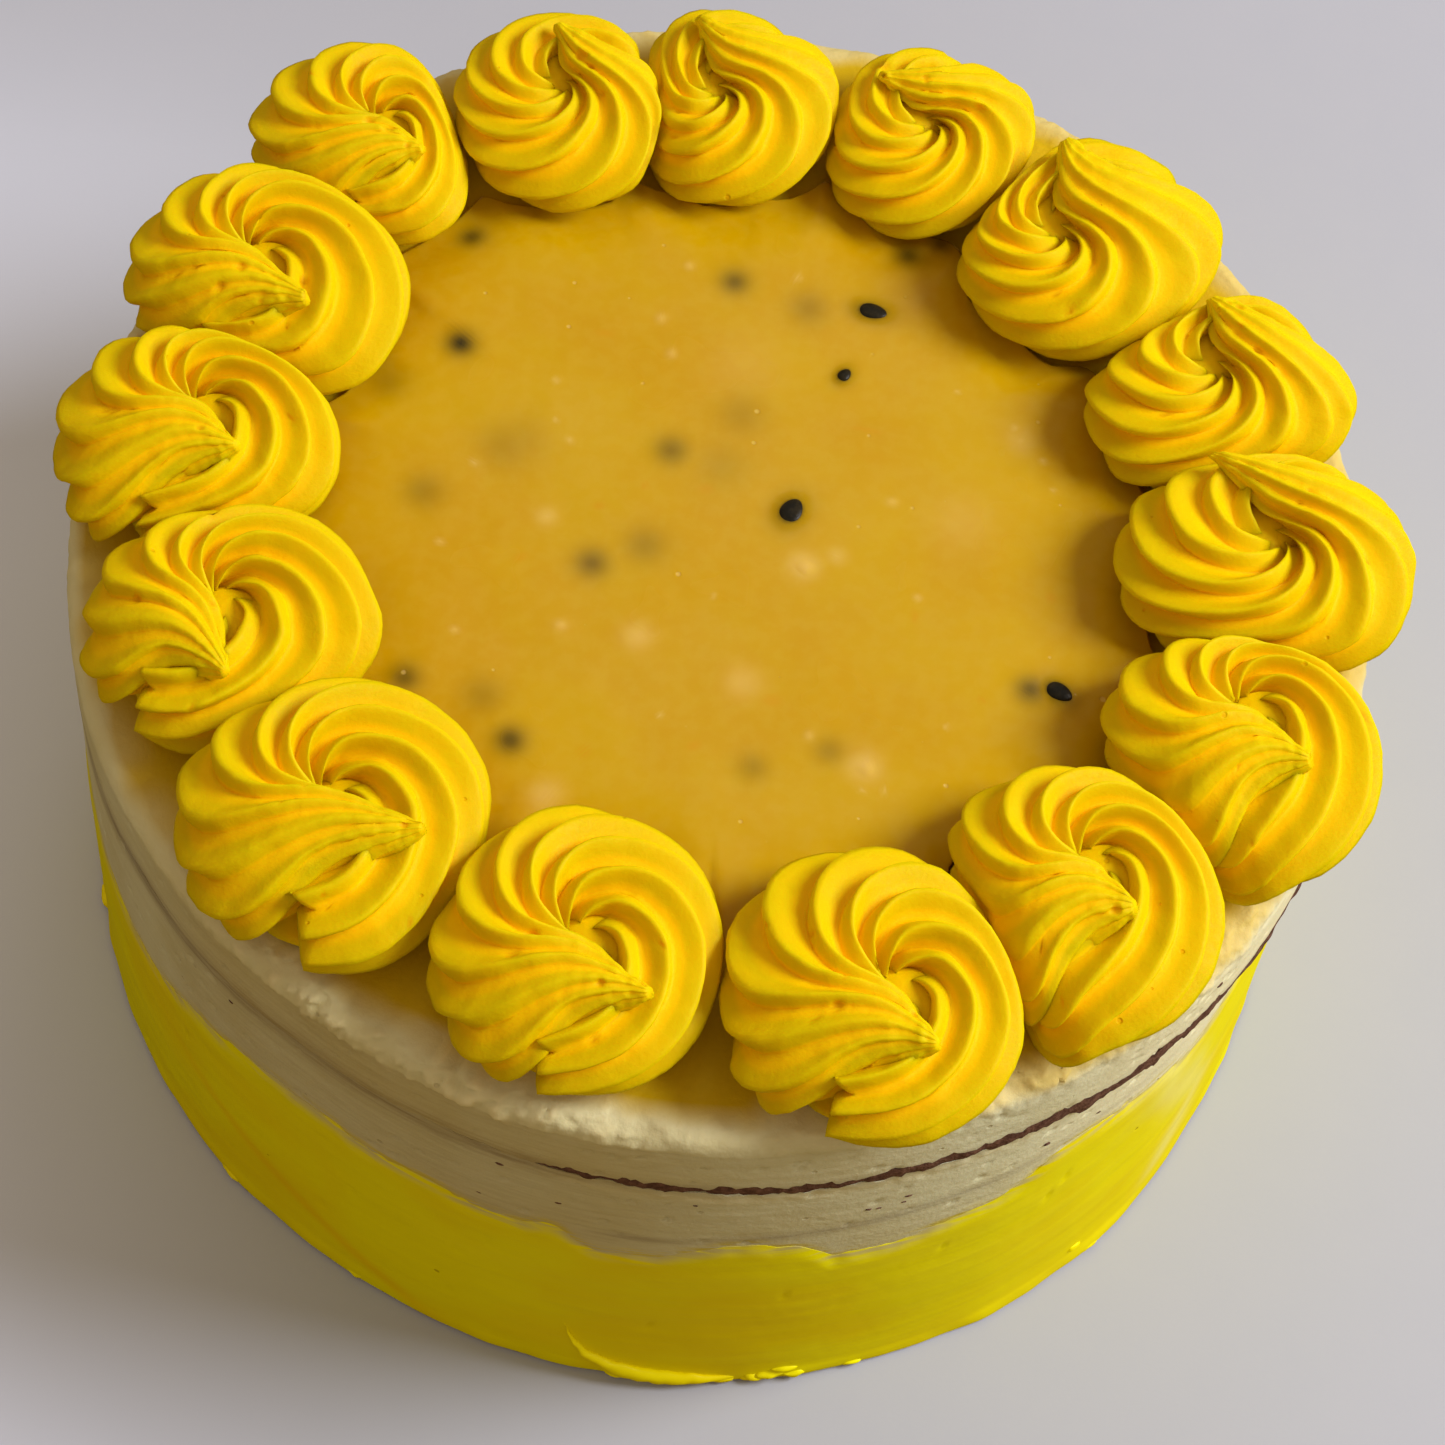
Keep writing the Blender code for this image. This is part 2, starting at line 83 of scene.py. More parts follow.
# Radial thickness of the coat's torn edge: share of the way up it, share of its thickness
COAT_THIN_ROWS = ((0.35, 0.75), (0.65, 0.42), (0.85, 0.2), (1.0, 0.04))

# The tables by angle run round the cake: degrees first, then the value.
# How far the wall stands out of round, in millimetres
WALL_REACH = (
    (0, -2.4), (20, -3.2), (45, -3.2), (70, -1.8), (95, -0.6), (125, 0.2), (155, 0.8), (180, 1.5),
    (205, 1.9), (222, 1.3), (240, 0.3), (270, 0), (310, 0), (340, -1.2),
)
# How far the wall under the dark line stands in from the wall over it, in millimetres
LOWER_SET_IN = (
    (0, 2), (30, 0.6), (60, 0), (180, 0), (270, 0), (300, 0.3), (318, 1.6), (335, 2.6), (348, 2.6),
)
# Height of the coat's wavy upper edge, in millimetres
COAT_EDGE = (
    (5, 57), (20, 52), (34, 54), (48, 60), (62, 57), (75, 51), (90, 54), (104, 58), (118, 53),
    (133, 50), (147, 55), (160, 58), (173, 52), (187, 49), (201, 48), (215, 45), (227, 53.5),
    (235, 55.4), (248, 54.7), (257, 52.2), (261, 54.4), (266, 49.8), (270, 51.3), (277, 55.5),
    (281.5, 54.3), (286.5, 48.6), (292, 49.2), (300.5, 53), (308, 60.6), (317, 58), (324, 55.8),
    (330, 58.5), (341, 58.5), (352, 54),
)
# Share of the dark line that cream is smeared over
LINE_COVER = (
    (10, 0.25), (28, 0.8), (45, 1.4), (66, 0.7), (84, 0.1), (112, 0), (128, 0.5), (150, 1.4),
    (180, 1.5), (210, 1.5), (252, 1.5), (261, 0.7), (268, 0.05), (330, 0), (350, 0.1),
)
# Where the dark line is thicker
LINE_SWELL = ((278, 0), (298, 1), (330, 1), (350, 0))
# How far out the cream on top is tinted by curd stain and by painted golden shade and bounced light
# near the swirls, in millimetres from the axis
STAIN_AND_SHADE_LIMIT = (
    (0, 98), (90, 98), (165, 99.5), (200, 99.5), (222, 98.5), (238, 96), (258, 95.5), (272, 98),
    (285, 95.5), (300, 96.5), (312, 99), (328, 97),
)
# Least tint of the rim's top, more of it painted shade on the right where the rim faces the light
RIM_STAIN_AND_SHADE = ((10, 0.72), (70, 0.6), (130, 0.4), (180, 0.25), (285, 0.25), (306, 0.72))
# How torn the upper rim is
RIM_TORN = (
    (0, 0.35), (30, 0.2), (60, 0.5), (85, 0.15), (115, 0.6), (140, 0.2), (170, 0.35), (205, 0.1),
    (225, 0.25), (236, 1), (246, 0.8), (254, 1), (264, 0.5), (275, 0.3), (290, 0.4), (300, 0.8),
    (310, 0.6), (318, 1), (324, 0.9), (332, 0.3),
)
# Painted shade on the cream of the front left side, where less light falls, and painted light on the
# cream of the right side
SIDE_SHADE = ((190, 0), (215, 0.35), (235, 1), (262, 0.95), (280, 0.35), (300, 0))
SIDE_LIGHT = ((298, 0), (318, 0.7), (340, 0.7), (355, 0))
# Rough pale strip under the dark line, and a second grey shadow low on the front
ROUGH_STRIP = ((255, 0.1), (266, 1), (300, 0.9), (325, 0.5), (345, 0.2), (90, 0.5), (200, 0.1))
LOW_SHADOW = ((225, 0), (262, 0.1), (268, 0.5), (285, 0.6), (300, 0.5), (312, 0.2), (330, 0))

# Piped swirls, as in the solids
RIDGES = 10
RIDGE_SKEW = 0.55
RIDGE_COLUMNS = 12
CREST_ROUND = 0.15
DEPTH_SHARE = 0.90
STATION_STEPS = 8
# How the fan that covers the start of the ring flattens, is smoothed and drapes
FAN_FADE = 0.62
FAN_START = 7.0
FAN_EASE = 5.5
FAN_RELAX = 205
DRAPE_STATION = 13.0
DRAPE_STATIONS = 1.3
DRAPE_OUT = 4.2
DRAPE_DROP = 3.0
# How far out the draped and the smoothed sides of the rope face
DRAPE_SIDE = (0.3, 1.0)
FAN_UNDERSIDE = (0.95, 0.35)
# How the start of the ring claws back, slants or is tucked in: millimetres, over that many stations
CLAW_REACH = 2.2
CLAW_STATIONS = 1.2
START_SLANT = 1.7
SLANT_STATIONS = 2.1
BACK_SWIRLS = 6
START_TUCK = 2.6
TUCK_STATIONS = 3.0
# How many stations later the outer ridges of each ring start; a ring that starts level is slanted
START_LATE = (0,) * 8 + (2.6, 2.3, 2.9, 2.6, 2.4, 2.3, 2.3)
LATE_REACH = 9.0
# How far out a ridge faces from never late to fully late, on the rope's upper and lower side
LATE_UPPER = (-0.2, 0.9)
LATE_LOWER = (-0.9, 0.3)
# How the rope's first rows close to a rounded end
END_SHRINK = (0.25, 0.62, 0.88)
END_ROUND = 0.6
END_INWARD = 5.0
END_SINK = 2.5
# Height under which the rope is flattened against the cake, in millimetres
FOOT_HEIGHT = 0.6
# Where swirls press on each other over the cake, and how far in the squeeze is felt
PRESS_HEIGHT = 0.008
PRESS_SOFTNESS = 0.009
# One swirl's ring: angle, path radius, half width, centre height, height over width, lean,
# twist, crease depth
RING_STATIONS = (
    (214, 16, 5.6, 4, 0.95, 0, -8, 0.3), (222, 15.4, 6.8, 5.2, 0.95, 0, 0, 0.32),
    (238, 14.2, 7.6, 6.6, 0.95, 0, 14, 0.32), (260, 12, 8.2, 7.4, 0.95, 0, 28, 0.32),
    (286, 10.7, 8.3, 7.6, 0.95, 0, 44, 0.32), (320, 9.6, 8.3, 7.7, 0.95, 0, 60, 0.32),
    (360, 9.5, 8.5, 7.8, 0.95, 0, 80, 0.32), (405, 10.6, 9.3, 8.2, 0.88, 0, 112, 0.32),
    (450, 12, 10.7, 8.6, 0.8, 0, 150, 0.34), (490, 13, 11.8, 8.9, 0.75, 0.04, 186, 0.36),
    (525, 12.9, 12.3, 9.3, 0.72, 0.1, 219, 0.38), (553, 11.9, 12.2, 9.8, 0.72, 0.18, 247, 0.38),
)
# Its pulled tail: x, y and then as above, with its heading at the end
TAIL_STATIONS = (
    (-6.1, -5.8, 11.7, 10.6, 0.73, 0.26, 270, 0.38, 653),
    (-3.5, -7.2, 10.4, 11.6, 0.76, 0.36, 290, 0.38, 665),
    (-0.7, -8.2, 8.6, 12.6, 0.8, 0.46, 306, 0.38, 675),
    (2.1, -8.4, 5.9, 13.6, 0.9, 0.55, 318, 0.38, 682),
    (4.4, -9, 3.9, 14.7, 0.95, 0.6, 327, 0.36, 687), (6.2, -9.5, 2.5, 15.6, 1, 0.6, 331, 0.34, 690),
    (7.5, -9.8, 1.6, 16.2, 1, 0.6, 334, 0.3, 691), (8.5, -10.1, 0.8, 16.8, 1, 0.6, 336, 0.3, 691),
)
RING_CENTRE = (3.5, -1.5)
SWIRL_RIM = 21.8
EYE = np.array((6.0, -3.0))
TIP = np.array((8.5, -10.1))
TIP_POWER = 1.3
# The low plug in the eye: share of its radius, height, share of the way to the eye
PLUG_RADIUS = 12.0
PLUG_COLUMNS = 24
PLUG_LEVELS = ((1.0, 0.0, 0.0), (0.9, 3.6, 0.1), (0.62, 8.5, 0.75), (0.36, 12.3, 0.95))
# Each swirl: x, y, scale, turn, eye x and y, tip x and y
SWIRLS = (
    (-35, 71.4, 0.875, 150, 5, -5, 9, -10.5), (-10, 75.9, 0.885, 170, 4, -3, 8.5, -11.5),
    (22.7, 73.7, 0.852, 185, 2.5, -4.5, 9, -9.5), (49.3, 56.2, 0.990, 155, 7, 0, 13, -10.5),
    (71.1, 29.5, 0.980, 150, 5.5, -6, 12, -13), (79.3, 0.3, 1.060, 165, 2, -6, 12, -12),
    (77.1, -32.5, 0.995, 20, 5, 4, 7, -5), (54, -60.3, 1.023, 15, 5.5, 3, 6.5, -3.5),
    (26.6, -77.8, 1.055, 3, 5, -2.5, 8, -10.5), (-16, -76, 1.030, 15, 3, -2, 7.5, -11.5),
    (-52.4, -60.8, 1.085, 6, 1.5, 0, 11, -4.2), (-71.8, -30.9, 1.010, -18, -1, 0, 3.5, -10.5),
    (-82.3, 0, 1.008, 5, 3, 3, 6, -3.5), (-76.2, 29.9, 1.033, 0, 0, 1.5, 5.5, -5.5),
    (-65, 59.7, 0.890, 15, 5.5, 0.5, 9.5, -6.5),
)
# Where each swirl meets the next: shift of the meeting plane in millimetres, its lean in degrees
CONTACTS = (
    (1.5, 20), (1.5, 20), (1.0, 15), (1.5, 15), (-1.0, -5), (-1.0, -5), (-2.0, -10), (-2.5, -10),
    (0.0, 0), (-0.5, 10), (2.0, 10), (2.0, 10), (1.5, 10), (1.5, 10), (-2.0, -20),
)
# How uneven the piping is: sway in degrees, lumps in millimetres; the air holes, the share of
# wide ones, and both their sizes in millimetres
RIDGE_SWAY = 1.6
RIDGE_SWELL = 0.035
SKIN_LUMPS = 0.22
TIP_LUMPS = 0.30
TIP_STATIONS = 4.5
AIR_HOLES = 9
WIDE_HOLES = 0.12
HOLE_SIZES = (0.45, 1.0)
WIDE_SIZES = (1.0, 1.5)

# Curd; well inside it the sinking edge isn't felt. The tables of its details are in millimetres.
CURD_COLUMNS = 500
CURD_RINGS = 110
CURD_INSIDE = 0.05
SEED_RISE = 0.0004
BUBBLE_RISE = 0.00015
# Seeds that break its skin: x, y, length, width, turn
NEAR_SEEDS = (
    (17, 42.5, 5, 3.2, -8), (7.8, 4, 5, 3.9, 68), (13.7, 29.9, 2.8, 2.2, 60),
    (50.3, -22, 4.6, 3.2, -25),
)
# Their domes: share of the seed's width, height over the curd; how pointed one end is
SEED_LEVELS = ((0.92, -0.3), (0.88, -0.04), (0.84, 0.03), (0.72, 0.10), (0.5, 0.15), (0.2, 0.18))
SEED_POINT = 0.10
SEED_COLUMNS = 32
# Sunk seeds and pale clouds: x, y, radius, strength
SUNK_SEEDS = (
    (-45.9, 27.7, 2.3, 0.85), (-21.2, -9.1, 2.5, 0.55), (-29.6, -40.8, 2.3, 0.7),
    (-46.4, -32.4, 2.3, 0.6), (-11.5, 12.6, 2.5, 0.5), (-4.9, 45.1, 2.3, 0.6),
    (46.1, -22.2, 2.2, 0.65), (21.8, 54.3, 2.3, 0.7), (26.8, 58, 2, 0.6), (-47, 49, 2.2, 0.7),
    (50.7, 38.2, 2.2, 0.6), (-48, 0.1, 3, 0.3), (-13.6, -4.9, 3, 0.3), (-36.8, 10, 4, 0.2),
    (6.2, -40.7, 2.2, 0.3), (17.2, -36.5, 2.2, 0.3), (7.1, 41.8, 3, 0.3), (-1.3, 20.5, 3.5, 0.2),
    (-56.1, 19.5, 3, 0.3), (-3.5, 10.8, 4, 0.15), (-34.6, -33.9, 3, 0.25), (-34.6, 11.3, 4, 0.15),
)
PALE_CLOUDS = (
    (10.6, -5.3, 2.2, 0.8), (22.7, -38.5, 2.4, 0.8), (-23.3, -49.2, 2.4, 0.6),
    (3.3, -26.6, 2.6, 0.5), (-12.9, -20.8, 2.4, 0.6), (-29, -1.8, 1.6, 0.5), (42, 21.7, 2.4, 0.4),
    (15.4, -2.9, 1.6, 0.4), (34, 6, 5, 0.25), (-2, 30, 6, 0.2),
)
# Bubbles: x, y, radius
BUBBLES = (
    (10.9, -5.6, 1.3), (23, -38.8, 1.3), (-12.3, 47.2, 0.7), (4.9, 47.3, 0.6), (-15.6, 36.7, 0.8),
    (-13.3, 30.4, 0.8), (-30.5, 22.9, 0.5), (-41.1, 6.3, 0.5), (-27.2, 12.3, 0.6),
    (-29.6, 15.6, 0.4), (-29, -1.8, 0.5), (-44.4, -8.5, 0.6), (23.1, 7.9, 0.7), (15.4, -2.9, 0.4),
    (28.2, -8.6, 0.6), (40.8, 23.9, 0.6), (42, 21.7, 0.7), (45.5, 18.5, 0.5), (47.4, 13.4, 0.4),
    (14, -34.4, 0.7), (22.6, -42.4, 0.5), (25.8, -42.1, 0.5), (-24.6, -20.5, 0.9),
    (-40.2, -23.4, 0.6), (31.5, 29.4, 0.4), (-2.4, -12.4, 0.4), (34.1, -30.2, 0.4),
    (-8.2, -33.8, 0.4),
)
# Strands of pulp: x, y, length, width, turn
PULP = (
    (-24.1, 32.7, 2.8, 1.3, 0), (18.1, 20.4, 5, 0.9, -5), (-21.3, 1.1, 1.8, 1.4, 20),
    (-14.7, 5.6, 1.8, 0.9, 70), (-5.5, 6.3, 2.4, 1.8, 10), (8.2, -29.2, 3, 2, 0),
    (39.1, -24.9, 1.6, 1, 0), (48.2, -5.9, 1.8, 1.4, 80), (-2.7, -38.3, 2.4, 1.6, 30),
    (-18.6, -41.2, 2.4, 1.2, -30), (-32, -9.5, 2.2, 1.4, 40), (28, -12, 2.2, 1, 90),
)

# Icing pushed up at the foot of the coat, and crumbs: degrees, height and width in millimetres
CURL = (
    (-97.1, 17.9, 0.15), (-96.4, 13.5, 0.7), (-95.3, 9, 1.1), (-93.3, 5.6, 1.4), (-90.9, 3.7, 1.6),
    (-88.2, 2.7, 1.6), (-84.7, 2.2, 1.2), (-81.5, 1.9, 0.3),
)
CURL_COLUMNS = 14
CURL_STEPS = 6
FOOT_LUMPS = (
    (-91.8, 1.4, 1.6), (-89.9, 1.6, 1.9), (-86.8, 1.5, 1.8), (-85.3, 1.9, 1.5), (-82.6, 1.2, 1.2),
    (-79.6, 1.5, 1.5), (-78.2, 2.4, 1.6), (-77, 3.6, 1.3), (-76.1, 1.8, 1.5), (-70.5, 1.2, 1.1),
    (-47.2, 6.4, 0.9), (-45.1, 1.3, 1.5), (-43.6, 1.9, 1.3), (-58, 1, 1), (-118, 1, 1.1),
    (-133, 1.2, 1.4), (24, 1.3, 1.5), (27, 2, 1.2), (71, 1.1, 1.2), (96, 1.5, 1.7), (99.5, 1.2, 1.2),
    (141, 1.2, 1.4), (166, 1, 1.1), (-164, 1.4, 1.6),
)
FOOT_LUMP_FORM = (0.6, 1.5, 0.7)
FOOT_CLEARANCE = 0.0007
CRUMBS = (
    (-103.6, 72, 0.7), (-98.4, 64.1, 0.55), (-105.4, 58.6, 0.5), (-38.5, 85, 0.7), (-68.7, 66.4, 0.7),
    (-72.1, 64.5, 0.5), (-55.7, 66.2, 0.6), (-50.1, 65.9, 0.45), (-71.2, 64.2, 0.4), (-69, 64.4, 0.4),
    (-131, 70.5, 0.5), (-87, 71, 0.4),
)
CRUMB_FORM = (0.3, 0.95, 0.42)
# Crumbs at the back and right: how many, and the spans of their degrees, heights and sizes
BACK_CRUMBS = 16
BACK_CRUMB_SPANS = ((-25.0, 210.0), (62.0, 86.0), (0.3, 0.6))

# Colours of the finishes
# Icing creases are painted brighter orange as glow of bounced light, and crests a little darker as
# painted shade
ICING = {
    "crease": (0.96, 0.59, 0.0), "flank": (0.71, 0.52, 0.0), "crest": (0.675, 0.517, 0.0),
    "tip": (0.72, 0.58, 0.0), "deep": (0.80, 0.50, 0.0), "pit_shade": (0.76, 0.42, 0.0),
}
CURD = {
    "gold": (0.56, 0.345, 0.0), "deep": (0.54, 0.300, 0.0), "fine": (0.60, 0.40, 0.03),
    "cloud": (0.80, 0.58, 0.20), "pulp": (0.58, 0.30, 0.0), "seed": (0.010, 0.010, 0.005),
    "froth": (0.80, 0.60, 0.18),
}
SEED = {"coat": (0.008, 0.007, 0.004), "bloom": (0.026, 0.019, 0.008)}
CREAM = {
    "ivory": (0.75, 0.76, 0.53), "deep": (0.68, 0.66, 0.41), "streak": (0.80, 0.80, 0.58),
    "flake_and_light": (0.86, 0.82, 0.54), "thin": (0.15, 0.10, 0.10), "smear": (0.66, 0.55, 0.02),
    "stain_and_shade": (0.62, 0.42, 0.0), "pit_shade": (0.34, 0.27, 0.13),
}
COAT = {
    "yellow": (0.93, 0.90, 0.0), "deep": (0.91, 0.76, 0.0), "streak": (0.94, 0.89, 0.01),
    "warm": (0.90, 0.56, 0.0), "pale": (0.97, 0.97, 0.34), "thin": (0.62, 0.56, 0.24),
    "pit_shade": (0.40, 0.30, 0.0),
}
SPONGE = {"dark": (0.085, 0.035, 0.025), "light": (0.19, 0.095, 0.062)}
TABLE = {
    "grey": (0.425, 0.45, 0.54), "speck": (0.44, 0.462, 0.548), "painted_light": (0.73, 0.79, 0.99),
    "bounce": (0.20, 0.14, 0.03),
}
# How light spreads inside a finish: weight, colour, metres
MILKY_ICING = (0.45, (1.0, 0.7, 0.05), 0.0032)
MILKY_CURD = (0.5, (1.0, 0.7, 0.05), 0.0022)
MILKY_CREAM = (0.1, (1.0, 0.7, 0.4), 0.001)
# Where the noise's cells start, and how far its place moves per station, ridge and swirl
NOISE_SHIFT = 512.0
SWAY_STEP = (0.55, 3.7, 5.1)
# How far the dark line spills over its own layer, down and up, and how its crumb is bevelled
LINE_SPILL = (0.0005, 0.0006)
SPONGE_BEVEL = 0.0002
# How far down from its edge the coat is rubbed thin, and up from it the cream is smeared
SMEAR_HEIGHT = 0.0035
# Depth of the rim's rounding over its height
RIM_INWARD = 0.95
# How far the curl and lumps, and the crumbs, stand out of the wall
LUMP_PROUD = 0.0004
CRUMB_PROUD = 0.00002
# How far the curd runs past its solid's edge, under the swirls
CURD_UNDERLAP = 0.0012
# Grey shadows on the side: strength, height and width in millimetres; and the rough pale strip
LEFT_SHADOW = (0.74, 76.2, 3.0)
RIGHT_SHADOW = (0.55, 76.6, 1.9)
FRONT_SHADOW = (0.7, 59.0, 1.4)
STRIP_HEIGHT = 73.6
STRIP_WIDTH = 1.5
# Share of cover over which cream closes over the dark line
LINE_CLOSES = (0.75, 0.97)
# How ragged and how soft the curd's stain and the painted shade end on the cream
STAIN_AND_SHADE_RAG = 0.0022
STAIN_AND_SHADE_EDGE = 0.0045
# Lip at the coat's foot in millimetres; then, in radians and metres, a warm fold that climbs
# the front left, and a pale streak
LIP_HEIGHT = 1.6
FOLD_TURN = -2.2
FOLD_LEVEL = 0.018
FOLD_CLIMB = 0.058
FOLD_WIDTH = 0.0022
STREAK_TURN = -0.66
STREAK_WIDTH = 0.055
# How the curd sinks at its edge, and under the swirls between two distances from the axis
EDGE_SINK = 0.0010
EDGE_REACH = 0.0065
UNDER_SINK = 0.0016
UNDER_REACH = (0.060, 0.074)
# Unevenness in layers: weight, lump size in millimetres, seed
COAT_EDGE_RAGS = ((0.9, 5.0, 71), (0.5, 1.8, 72))
COVER_PATCHES = ((0.50, 7.0, 73), (0.34, 1.8, 74))
LINE_LOW_RAGS = ((0.55, 3.2, 75), (0.60, 0.8, 76))
LINE_HIGH_RAGS = ((0.70, 2.6, 77), (0.70, 0.9, 78))
CURD_WAVES = ((0.10, 16.0, 131), (0.03, 5.0, 132))
# Air holes in the wall: seed, count, lowest and highest place, largest size in millimetres
PIT_LEAST = 0.35
CREAM_PITS = (85, 260, 0.056, 0.0745, 0.9)
LID_PITS = (95, 200, 0.0785, 0.0875, 0.9)
COAT_PITS = (115, 60, 0.004, 0.054, 0.8)
# Rings of the flat top, from the rim inwards
TOP_RINGS = (*np.linspace(0.0935, 0.088, 9), *np.linspace(0.086, 0.050, 12))

# Lights: name, place, target, size, power, colour; and the light of the room
LIGHTS = (
    ("window", (1.29, 0.15, 1.20), (0.0, 0.0, 0.08), 0.83, 33.0, (1.0, 0.985, 0.98)),
    ("ceiling", (0.02, 0.55, 1.0), (0.0, 0.0, 0.09), 0.25, 0.31, (1.0, 0.98, 0.96)),
)
ROOM_COLOUR = (1.0, 0.79, 0.56, 1.0)
ROOM_STRENGTH = 0.46
FLOOR_HALF = 3.0

# The photograph's view; focal length and centre are in steps of an image 1445 wide and high
VIEW_SIDE = 1445.0
VIEW_FOCAL = 4220.06
VIEW_CENTRE = (723.92, 645.5)
VIEW_ELEVATION = math.radians(59.81)
VIEW_ROLL = math.radians(6.625)
VIEW_DISTANCE = 0.67086
VIEW_AIM = 0.060
FILM_WIDTH = 36.0


def eased(share):
    return share * share * (3.0 - 2.0 * share)


def ease(value, low, high):
    return eased(np.clip((np.asarray(value, float) - low) / (high - low), 0.0, 1.0))


def bell(value, width):
    return np.exp(-(value / width)**2)


def turns(count):
    """Even angles once round, in radians."""
    return FULL_TURN * np.arange(count) / count


WALL_ANGLES = turns(WALL_COLUMNS)


def spun(x, y, turn):
    return math.cos(turn) * x - math.sin(turn) * y, math.sin(turn) * x + math.cos(turn) * y


def soft_noise(points, lump, seed):
    """Smooth uneven values from -1 to 1 in lumps of about that size."""
    values = np.random.default_rng(seed).uniform(-1.0, 1.0, (NOISE_CELLS,) * 3)
    place = np.asarray(points, float) / lump + NOISE_SHIFT
    cell = np.floor(place).astype(int)
    share = eased(place - cell)
    total = np.zeros(place.shape[:-1])
    for corner in np.ndindex(2, 2, 2):
        weight = np.ones(place.shape[:-1])
        for axis in range(3):
            part = share[..., axis]
            weight = weight * (part if corner[axis] else 1.0 - part)
        index = tuple((cell[..., axis] + corner[axis]) % NOISE_CELLS for axis in range(3))
        total = total + weight * values[index]
    return total


def uneven(points, *layers):
    """Layers of soft noise added up."""
    return sum(weight * soft_noise(points, size * MM, seed) for weight, size, seed in layers)


def knot_values(knots, angle=WALL_ANGLES):
    """Values eased from knot to knot round the cake; angle is in radians."""
    knots = sorted((degrees % 360.0, value) for degrees, value in knots)
    place = np.array([knots[-1][0] - 360.0] + [k[0] for k in knots] + [knots[0][0] + 360.0])
    value = np.array([knots[-1][1]] + [k[1] for k in knots] + [knots[0][1]])
    here = np.degrees(angle) % 360.0
    after = np.clip(np.searchsorted(place, here, side="right"), 1, len(place) - 1)
    share = eased((here - place[after - 1]) / (place[after] - place[after - 1]))
    return value[after - 1] + (value[after] - value[after - 1]) * share


def grid_faces(rows, columns, loop=False):
    """Faces of a grid whose columns run round; loop joins the last row to the first."""
    row = np.arange(rows if loop else rows - 1)[:, None]
    column = np.arange(columns)[None, :]
    after = (column + 1) % columns
    above = (row + 1) % rows
    corners = (
        row * columns + column, row * columns + after,
        above * columns + after, above * columns + column,
    )
    return np.stack(np.broadcast_arrays(*corners), axis=-1).reshape(-1, 4).tolist()


def cap_faces(first, columns, middle):
    return [(first + i, first + (i + 1) % columns, middle) for i in range(columns)]


def closed_shell(grid):
    """Points and faces of a grid that runs round, closed by a middle point at both ends."""
    rows, columns = grid.shape[:2]
    count = rows * columns
    faces = grid_faces(rows, columns) + cap_faces(0, columns, count)
    faces += cap_faces(count - columns, columns, count + 1)
    return np.vstack([grid.reshape(-1, 3), grid[0].mean(axis=0), grid[-1].mean(axis=0)]), faces


def grid_mark(values):
    """Values of a closed grid's points, with nothing at its two end points."""
    return np.append(values.ravel(), (0.0, 0.0))


def joined(shells):
    """Several (points, faces) shells as one."""
    points = []
    faces = []
    count = 0
    for shell_points, shell_faces in shells:
        points.append(shell_points)
        faces += [tuple(corner + count for corner in face) for face in shell_faces]
        count += len(shell_points)
    return np.vstack(points), faces


def add_object(name, data):
    item = bpy.data.objects.new(name, data)
    bpy.context.scene.collection.objects.link(item)
    return item


def make_piece(name, shell, material, replaced=(), marks=None, crisp=False):
    """A shown piece that rides on the cake; marks are values at its points for its material."""
    points, faces = shell
    mesh = bpy.data.meshes.new(name)
    mesh.from_pydata(points.tolist(), [], faces)
    shape = bmesh.new()
    shape.from_mesh(mesh)
    bmesh.ops.recalc_face_normals(shape, faces=shape.faces[:])
    shape.to_mesh(mesh)
    shape.free()
    for mark, values in (marks or {}).items():
        layer = mesh.attributes.new(mark, "FLOAT", "POINT")
        layer.data.foreach_set("value", np.asarray(values, np.float32).ravel())
    mesh.polygons.foreach_set("use_smooth", [True] * len(mesh.polygons))
    if crisp:
        mesh.set_sharp_from_angle(angle=math.radians(CRISP_EDGE))
    mesh.materials.append(material)
    piece = add_object(name, mesh)
    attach(piece, BODY)
    if replaced:
        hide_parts(*replaced)


# Materials


def put(tree, target, value):
    """Sets a socket to a plain value, or links a socket to it."""
    if isinstance(value, bpy.types.NodeSocket):
        tree.links.new(value, target)
    elif isinstance(value, tuple) and len(value) == 3 and target.type == "RGBA":
        target.default_value = (*value, 1.0)
    else:
        target.default_value = value


def node(tree, kind, values=None, **settings):
    """A new node; values are for its inputs."""
    item = tree.nodes.new(kind)
    for name, value in settings.items():
        setattr(item, name, value)
    for name, value in (values or {}).items():
        put(tree, item.inputs[name], value)
    return item


def math_of(tree, operation, *values):
    return node(tree, "ShaderNodeMath", dict(enumerate(values)), operation=operation).outputs[0]


def share_of(tree, value, share):
    return math_of(tree, "MULTIPLY", value, share)


def blend_of(tree, share, first, second):
    values = {"Factor": share, "A": first, "B": second}
    return node(tree, "ShaderNodeMix", values, data_type="RGBA").outputs["Result"]


def range_of(tree, value, low, high, to_low=0.0, to_high=1.0):
    values = {"Value": value, "From Min": low, "From Max": high, "To Min": to_low, "To Max": to_high}
    item = node(tree, "ShaderNodeMapRange", values, interpolation_type="SMOOTHSTEP")
    return item.outputs["Result"]


def mark_of(tree, name):
    return node(tree, "ShaderNodeAttribute", attribute_name=name).outputs["Fac"]


def noise_at(tree, vector, scale, detail=2.0, rough=0.5):
    values = {"Vector": vector, "Scale": scale, "Detail": detail, "Roughness": rough}
    return node(tree, "ShaderNodeTexNoise", values).outputs["Fac"]


def bump_of(tree, height, strength, distance, before=None):
    values = {"Strength": strength, "Distance": distance, "Height": height}
    if before is not None:
        values["Normal"] = before
    return node(tree, "ShaderNodeBump", values).outputs["Normal"]


def add_socket(group, label, side):
    """A named socket of a node group: a colour if its name says so, or else a number."""
    kind = "NodeSocketColor" if label.endswith("Colour") else "NodeSocketFloat"
    return group.interface.new_socket(label, in_out=side, socket_type=kind)


